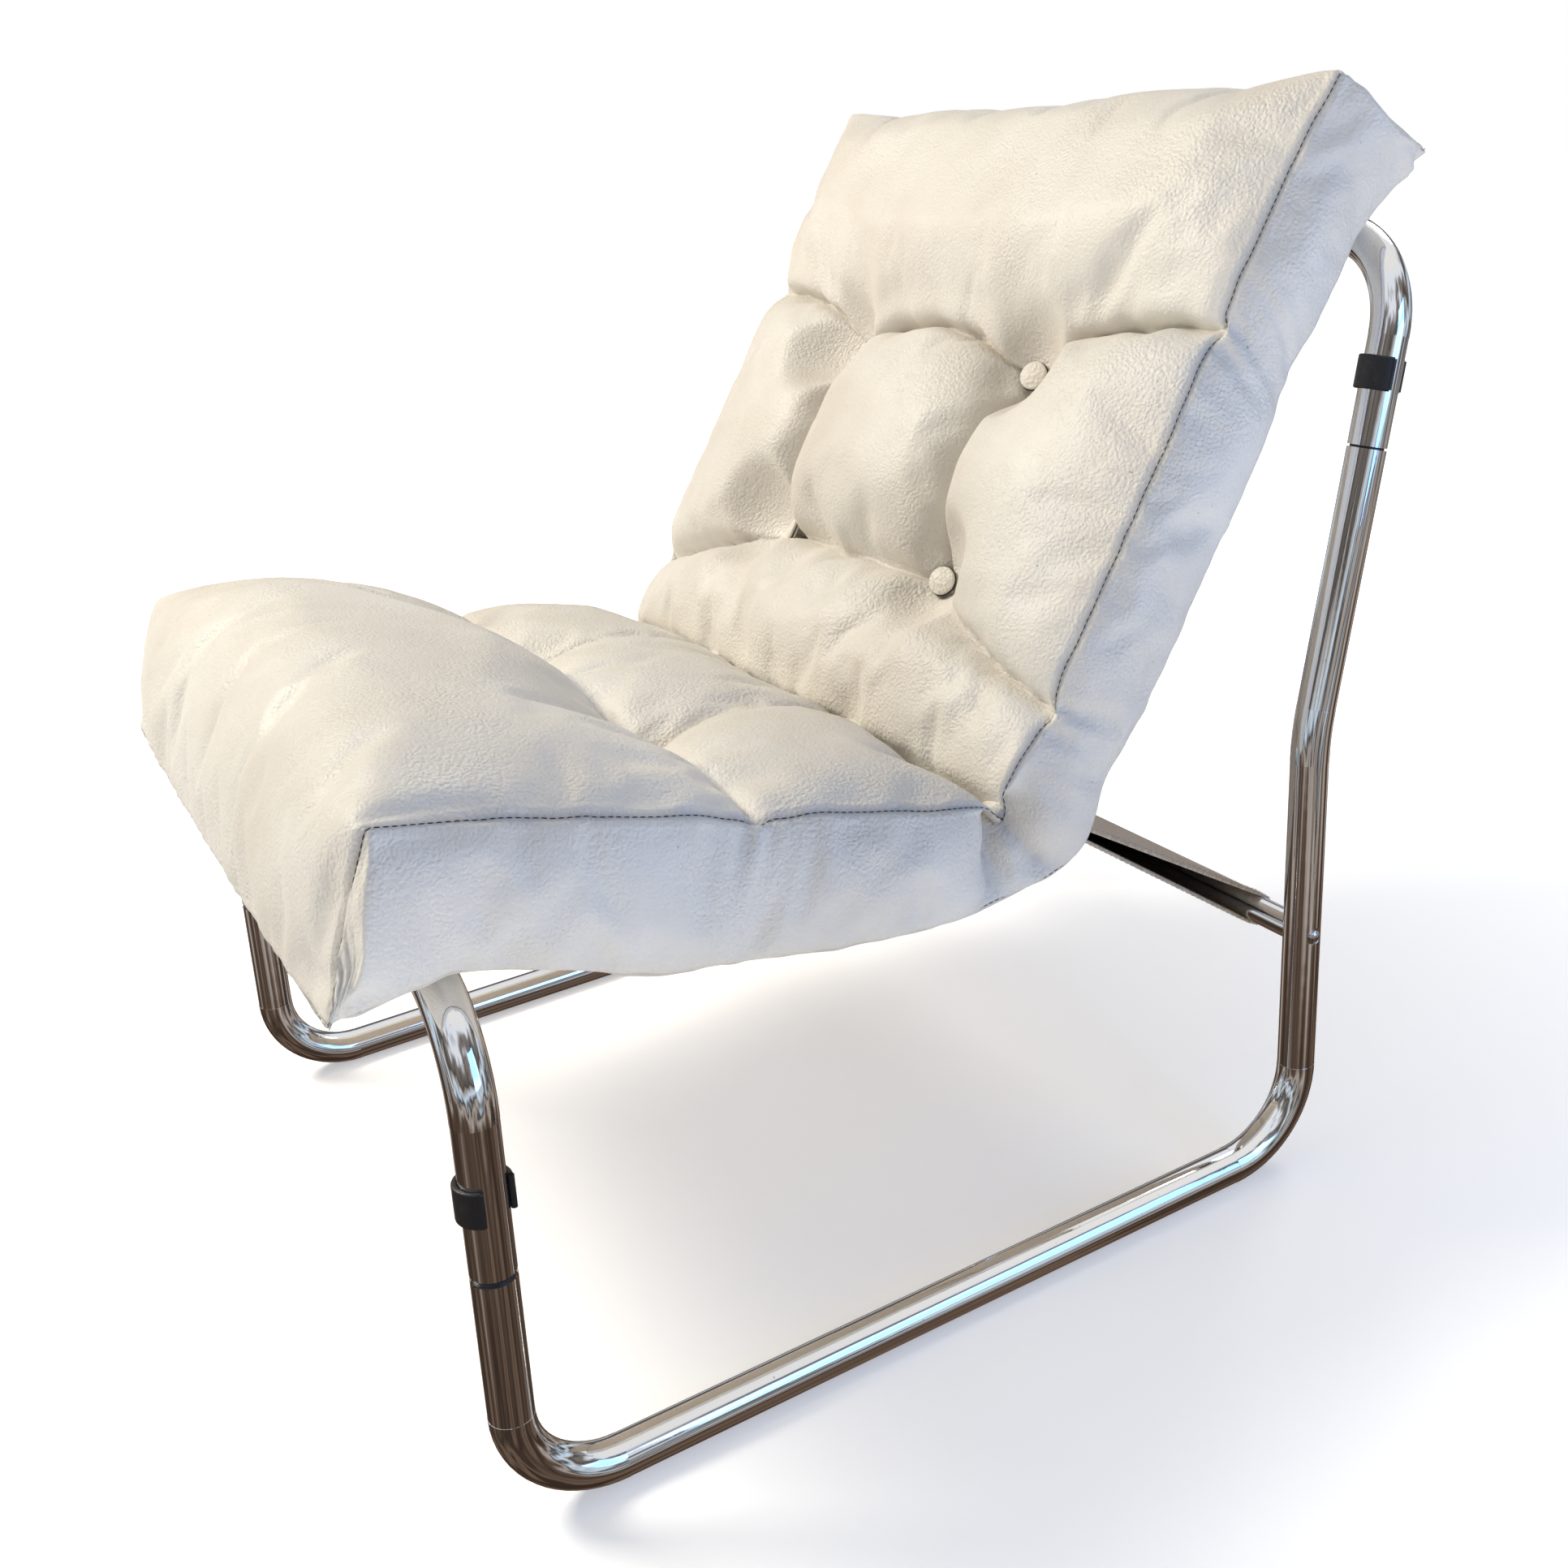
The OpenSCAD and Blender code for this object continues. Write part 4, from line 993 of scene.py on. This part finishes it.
def spindles(name, line, out, pitch, length, radius, material, sides=6, rings=5):
    """Short spindles along a line: each is a circle carried along its length with a radius that follows
    a half sine, flattened at both ends."""
    total = along(line)[-1]
    middles = np.arange(pitch / 2, total, pitch)
    at = resampled(line, middles)
    way = unit(resampled(line, np.minimum(middles + pitch / 4, total)) - resampled(line, middles - pitch / 4))
    up = resampled(out, middles * along(out)[-1] / total) if len(out) != len(line) else np.stack(
        [np.interp(middles, along(line), out[:, k]) for k in range(3)], -1)
    up = unit(up - way * (up * way).sum(-1, keepdims=True))
    side = np.cross(way, up)
    v = np.linspace(0.02, 0.98, rings)
    a = np.arange(sides) * 2 * math.pi / sides
    ring = radius * np.sin(np.pi * v) ** 0.45
    local_way = (v - 0.5) * length
    points = (at[:, None, None] + way[:, None, None] * local_way[None, :, None, None]
              + up[:, None, None] * (ring[:, None] * np.cos(a))[None, ..., None]
              + side[:, None, None] * (ring[:, None] * np.sin(a))[None, ..., None])
    faces = grid_faces(rings, sides, closed=True)
    count = rings * sides
    faces = (faces[None] + np.arange(len(at))[:, None, None] * count).reshape(-1, 4).tolist()
    faces += end_discs(len(at), count, sides)
    return make_piece(name, points, faces, material)


def seam_path(column):
    """The points of one seam of the smoothed cover, in order along the cushion, and their normals."""
    on_it = np.flatnonzero((seam_share > 0.99) & (np.abs(values_of(cover, "column") - column) < 0.01))
    order = on_it[np.argsort(values_of(cover, "station")[on_it])]
    return points_of(cover)[order], normals_of(cover)[order]


stitches = []
for place, column in seam_column.items():
    line, out = seam_path(column)
    line = line + out * 0.0003
    stitches.append(spindles("seam_stitches_" + place, line, out, STITCH_PITCH, STITCH_LENGTH,
                             STITCH_R, navy_thread))
print("stitches:", {s.name: len(s.data.polygons) for s in stitches})

# %% [markdown]
# A button is a flat steel shell with the cover's leatherette stretched over it. Its face is a low dome
# with a rolled edge, turned on a lathe from a short profile, and a thin black ring round it stands for the
# painted shadow in the gap between button and cover.

# %% Buttons
def turned(profile, at, out, sides=48):
    """Points of a profile [radius, height] turned round the axis out through at."""
    profile = np.array(profile)
    out = unit(np.asarray(out, float))
    side = unit(np.cross(out, [0.0, 0.3, 1.0]))
    other = np.cross(out, side)
    a = np.arange(sides) * 2 * math.pi / sides
    ring = side * np.cos(a)[:, None] + other * np.sin(a)[:, None]
    return at + profile[:, 0, None, None] * ring[None] + profile[:, 1, None, None] * out


def lathe_piece(name, profile, spots, material, sides=48, capped=True):
    """One mesh of the same turned shape at every spot. If capped, both end rings close as discs."""
    points = np.stack([turned(profile, at, out, sides) for at, out in spots])
    count = len(profile) * sides
    one = grid_faces(len(profile), sides, closed=True)
    faces = (one[None] + np.arange(len(spots))[:, None, None] * count).reshape(-1, 4).tolist()
    if capped:
        faces += end_discs(len(spots), count, sides)
    return make_piece(name, points, faces, material)


EDGE_R, EDGE_Z, EDGE_ROUND, DOME = 0.0016, 0.0026, 0.0013, 0.0012
edge = [(BUTTON_R - EDGE_R + EDGE_R * math.sin(t), EDGE_Z + EDGE_ROUND * math.cos(t))
        for t in np.linspace(0, math.pi * 0.62, 8)]
inmost = BUTTON_R * 0.02
dome = [(inmost + (edge[0][0] - inmost) * t, edge[0][1] + DOME * (1 - t ** 2))
        for t in np.linspace(0, 1, 8)[:-1]]
buttons = lathe_piece("cushion_buttons", [*dome, *edge, (BUTTON_R - 0.001, -0.001)], button_spots,
                      button_leather)
# painted shadow: a thin black nylon ring round each button's edge stands for the shade in the gap between
# button and cover
ring = [(BUTTON_R + 0.0001 + 0.00045 * math.cos(t), 0.0008 + 0.0006 * math.sin(t))
        for t in np.linspace(0, 2 * math.pi, 9)]
button_shadow_rings = lathe_piece("button_shadow_rings", ring, button_spots, black_nylon, capped=False)
for piece in (buttons, button_shadow_rings):
    tidy(piece, 1e-6)

# %% [markdown]
# ## The sling
# Three canvas panels: the seat panel is sewn round the front crossbar, the back panel round the top
# crossbar, and the tie panel runs from their seam down round the lower bar and back. Each is a sheet
# along a path in the side view, with its own UV map in metres for the weave, and Solidify gives it the
# canvas's thickness. The bars' places come from the frame.

# %% Canvas panels
CANVAS = 0.0012


def bar_axis(node, radius):
    """[y, z] of a crossbar's axis: one radius below its highest points."""
    co = points_of(nodes[node])
    crest = co[co[:, 2] > co[:, 2].max() - 0.0002]
    return np.array([(crest[:, 1].max() + crest[:, 1].min()) / 2, co[:, 2].max() - radius])


low_low, low_high = (np.array(c)[1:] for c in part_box("lower_bar"))
low_bar, LOW_R = (low_low + low_high) / 2, float(low_high[1] - low_low[1]) / 2
TUBE_R = round(float(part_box("side_frame_right")[1].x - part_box("side_frame_right")[0].x) / 2, 4)
front_bar, top_bar = bar_axis("front_crosspiece", TUBE_R), bar_axis("top_crosspiece", TUBE_R)
print("bars at", front_bar.round(4), top_bar.round(4), low_bar.round(4),
      "radii", round(TUBE_R, 4), round(LOW_R, 4))
WRAP_R = TUBE_R + 0.0003 + CANVAS / 2
LIE_GAP = 0.0005
SEAT_W, TIE_W = (2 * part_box(n)[1].x for n in ("sling_seat", "sling_tie"))
sewn_at = np.array([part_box("sling_tie")[0].y + 0.0008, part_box("sling_tie")[1].z - 0.0006])
sling_fine = resampled(under_path, np.arange(0, UNDER_END, FINE))
sling_fine = sling_fine - left_of_line(sling_fine) * (LIE_GAP + CANVAS / 2)


def arc_round(middle, radius, start, end, steps=28):
    """Points of a circle from one angle to another."""
    a = np.linspace(start, end, steps)
    return middle + radius * np.stack([np.cos(a), np.sin(a)], -1)


def angle_to(middle, point):
    return math.atan2(point[1] - middle[1], point[0] - middle[0])


def tangent(middle, radius, point, side):
    """The angle at which a line from point touches a circle, on its left or right side."""
    return angle_to(middle, point) + side * math.acos(radius / np.linalg.norm(point - middle))


HEM_SEAT = 0.042
sewn_s = nearest_along(sling_fine, sewn_at)
off_front, off_top = (np.linalg.norm(sling_fine - bar, axis=1) > HEM_SEAT for bar in (front_bar, top_bar))
sling_s = along(sling_fine)
seat_part = sling_fine[off_front & (sling_fine[:, 0] > front_bar[0]) & (sling_s < sewn_s)]
hem_at = seat_part[0]
top_touch = tangent(front_bar, WRAP_R, hem_at, 1)
low_touch = tangent(front_bar, WRAP_R, hem_at, -1) + 2 * math.pi
seat_path = np.concatenate([[hem_at + (0.0008, -CANVAS * 1.2)],
                            arc_round(front_bar, WRAP_R, low_touch, top_touch), seat_part, [sewn_at]])
back_part = sling_fine[off_top & (sling_fine[:, 1] < top_bar[1]) & (sling_s > sewn_s)]
hem_at = back_part[-1]
front_touch = tangent(top_bar, WRAP_R, hem_at, -1)
rear_touch = tangent(top_bar, WRAP_R, hem_at, 1) - 2 * math.pi
back_path = np.concatenate([[sewn_at], back_part, arc_round(top_bar, WRAP_R, front_touch, rear_touch),
                            [hem_at + (0.0012, -0.0006)]])
LOW_WRAP = LOW_R + 0.0003 + CANVAS / 2
upper_touch = tangent(low_bar, LOW_WRAP, sewn_at, -1)
lower_touch = tangent(low_bar, LOW_WRAP, sewn_at, 1) - 2 * math.pi
tie_away = np.array([0.0007, 0.0010])
tie_path = np.concatenate([[sewn_at + tie_away], arc_round(low_bar, LOW_WRAP, upper_touch, lower_touch),
                           [sewn_at + tie_away * (1, -1)]])


def canvas_panel(name, path, half_width_at, step=0.006, ripple=0.0):
    """A sheet along a path in the side view: the point at distance v along it and u across is
    (u * half width, path(v)), with ripples across it that only lean away from the cushion. Hems at both
    side edges are twice as thick. Its UV map holds u and v in metres."""
    length = along(path)[-1]
    v = np.linspace(0, length, int(length / step) + 1)
    line = resampled(path, v)
    hem = np.array([0.0, 0.0015, 0.011, 0.0125])
    widest = max(half_width_at(p) for p in line)
    inner = np.linspace(0.020, widest, 26) / widest
    edge = hem / widest
    u = np.concatenate([-1 + edge, -1 + inner[:-1], [0.0], (1 - inner[:-1])[::-1], (1 - edge)[::-1]])
    half = np.array([half_width_at(p) for p in line])
    x = u[None, :] * half[:, None]
    away = -left_of_line(line)
    ripples = 1 - np.cos(34 * x + 6 * np.sin(9 * v[:, None]))
    lean = ripple * 0.5 * ripples * np.sin(np.pi * v / length)[:, None] ** 0.5
    points = np.concatenate([x[..., None], line[:, None] + away[:, None] * lean[..., None]], -1)
    piece = make_piece(name, points, grid_faces(len(v), len(u)), canvas)
    flat = np.stack([x.ravel(), np.repeat(v, len(u))], -1)
    uv = piece.data.uv_layers.new(name="flat")
    loops = np.zeros(len(piece.data.loops), int)
    piece.data.loops.foreach_get("vertex_index", loops)
    uv.data.foreach_set("uv", flat[loops].astype(np.float32).ravel())
    group = piece.vertex_groups.new(name="thick")
    thin = np.abs(u) < 1 - edge[2] - 1e-6
    number = np.arange(len(v) * len(u)).reshape(len(v), len(u))
    group.add(number[:, thin].ravel().tolist(), 0.55, "REPLACE")
    group.add(number[:, ~thin].ravel().tolist(), 1.0, "REPLACE")
    wall = piece.modifiers.new("thickness", "SOLIDIFY")
    wall.thickness, wall.offset, wall.vertex_group = 2 * CANVAS, 0, group.name
    area = float(((half[1:] + half[:-1]) * np.diff(v)).sum())
    return piece, float(2 * half.max()), float(length), area


def tie_half_width(point):
    """Half the tie's width: it widens evenly from the sewn line to the lower bar."""
    share = np.clip((point[0] - sewn_at[0]) / (low_bar[0] - sewn_at[0]), 0, 1)
    return 0.172 + (TIE_W / 2 - 0.172) * share


panels = {"sling_seat_canvas": (seat_path, lambda p: SEAT_W / 2, "sling_seat", 0.0006, ["front_crosspiece"]),
          "sling_back_canvas": (back_path, lambda p: SEAT_W / 2, "sling_back", 0.0006, ["top_crosspiece"]),
          "sling_tie_canvas": (tie_path, tie_half_width, "sling_tie", 0.0, ["lower_bar"])}
canvas_pieces = {}
for name, (path_line, half_at, node, ripple, bars) in panels.items():
    piece, wide, long, area = canvas_panel(name, path_line, half_at, ripple=ripple)
    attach(piece, "frame")
    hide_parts(node)
    canvas_pieces[name] = piece
    print(name, "cut", round(wide, 3), "x", round(long, 3), "m, area", round(area, 4))

# %% Hem stitches
def across_line(path_line, half_at, at, lift, inset=0.004):
    """A straight row of points across a panel at a distance along its path, just off its surface."""
    point = resampled(path_line, np.array([at]))[0]
    out = left_of_line(resampled(path_line, np.array([max(at - 0.002, 0), at + 0.002])))[0]
    x = np.linspace(-half_at(point) + inset, half_at(point) - inset, 60)
    line = np.concatenate([x[:, None], np.tile(point + out * lift, (len(x), 1))], 1)
    return line, np.tile([0, *(out * np.sign(lift))], (len(x), 1))


def edge_line(path_line, half_at, side, inset, lift):
    """A row of points along one side edge of a panel."""
    length = along(path_line)[-1]
    line = resampled(path_line, np.linspace(0.004, length - 0.004, 200))
    out = left_of_line(line)
    x = np.array([side * (half_at(p) - inset) for p in line])
    facing = np.concatenate([0 * x[:, None], out * np.sign(lift)], 1)
    return np.concatenate([x[:, None], line + out * lift], 1), facing


def joined(name, pieces):
    """Several meshes as one piece."""
    work = bmesh.new()
    for piece in pieces:
        work.from_mesh(piece.data)
    mesh = bpy.data.meshes.new(name)
    work.to_mesh(mesh)
    work.free()
    for material in pieces[0].data.materials:
        mesh.materials.append(material)
    for piece in pieces:
        bpy.data.objects.remove(piece)
    out = bpy.data.objects.new(name, mesh)
    bpy.context.scene.collection.objects.link(out)
    return out


HEM_PITCH, HEM_LENGTH, HEM_THREAD_R = 0.0042, 0.0031, 0.00032
SEWN_IN, SIDE_IN, OFF = 0.008, 0.009, 0.0001
for name, (path_line, half_at, node, ripple, bars) in panels.items():
    steps = along(path_line)
    length, seams = steps[-1], []
    rows_across = {"sling_seat": [length - SEWN_IN, steps[29] + 0.006],
                   "sling_back": [SEWN_IN, steps[-30] - 0.006],
                   "sling_tie": [SEWN_IN, length - SEWN_IN]}[node]
    for face in (-1, 1):
        for at in rows_across:
            seams.append(across_line(path_line, half_at, at, face * (CANVAS * 0.56 + OFF)))
        for side in (-1, 1):
            seams.append(edge_line(path_line, half_at, side, SIDE_IN, face * (CANVAS + OFF)))
    pieces = [spindles("row", line, out, HEM_PITCH, HEM_LENGTH, HEM_THREAD_R, tan_thread, sides=5, rings=3)
              for line, out in seams]
    piece = joined(name + "_stitches", pieces)
    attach(piece, "frame")
    print(piece.name, "has", len(seams), "rows and", len(piece.data.polygons), "faces")

# %% [markdown]
# The pale floor is a wide plane at the height of the rails' undersides. It glows a little, and more
# further out, as a paper sweep does under its own lamps; the chrome mirrors the room instead of it.

# %% Floor
FLOOR = 12
floor_mesh = bpy.data.meshes.new("floor")
floor_corners = [(x * FLOOR, y * FLOOR, 0) for x, y in ((-1, -1), (1, -1), (1, 1), (-1, 1))]
floor_mesh.from_pydata(floor_corners, [], [(0, 1, 2, 3)])
floor = bpy.data.objects.new("floor", floor_mesh)
bpy.context.scene.collection.objects.link(floor)
floor_material, make, shader, place = finish("pale_floor", specular=0.1)
shader.inputs["Base Color"].default_value = (0.90, 0.90, 0.90, 1)
shader.inputs["Roughness"].default_value = 0.9
reach = make("ShaderNodeVectorMath", operation="LENGTH", in0=place).outputs["Value"]
shader.inputs["Emission Color"].default_value = (1, 1, 1, 1)
make.tree.links.new(spread(make, reach, 0.3, 1.6, 0.36, 1.0), shader.inputs["Emission Strength"])
floor_mesh.materials.append(floor_material)
floor.visible_glossy = False

# %% [markdown]
# Every piece rides on a body of the frame: the cover, its stitches and its buttons are the cushion,
# which lifts off in one, and the canvas belongs to the frame.

# %% Ride on the bodies and finish
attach(cover, "cushion")
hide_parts("cushion_seat_foam", "cushion_back_foam", "cushion_face_panel", "cushion_under_panel",
            "cushion_gusset_right", "cushion_gusset_left")
for piece in stitches:
    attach(piece, "cushion")
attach(buttons, "cushion")
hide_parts("tuft_buttons")
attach(button_shadow_rings, "cushion")
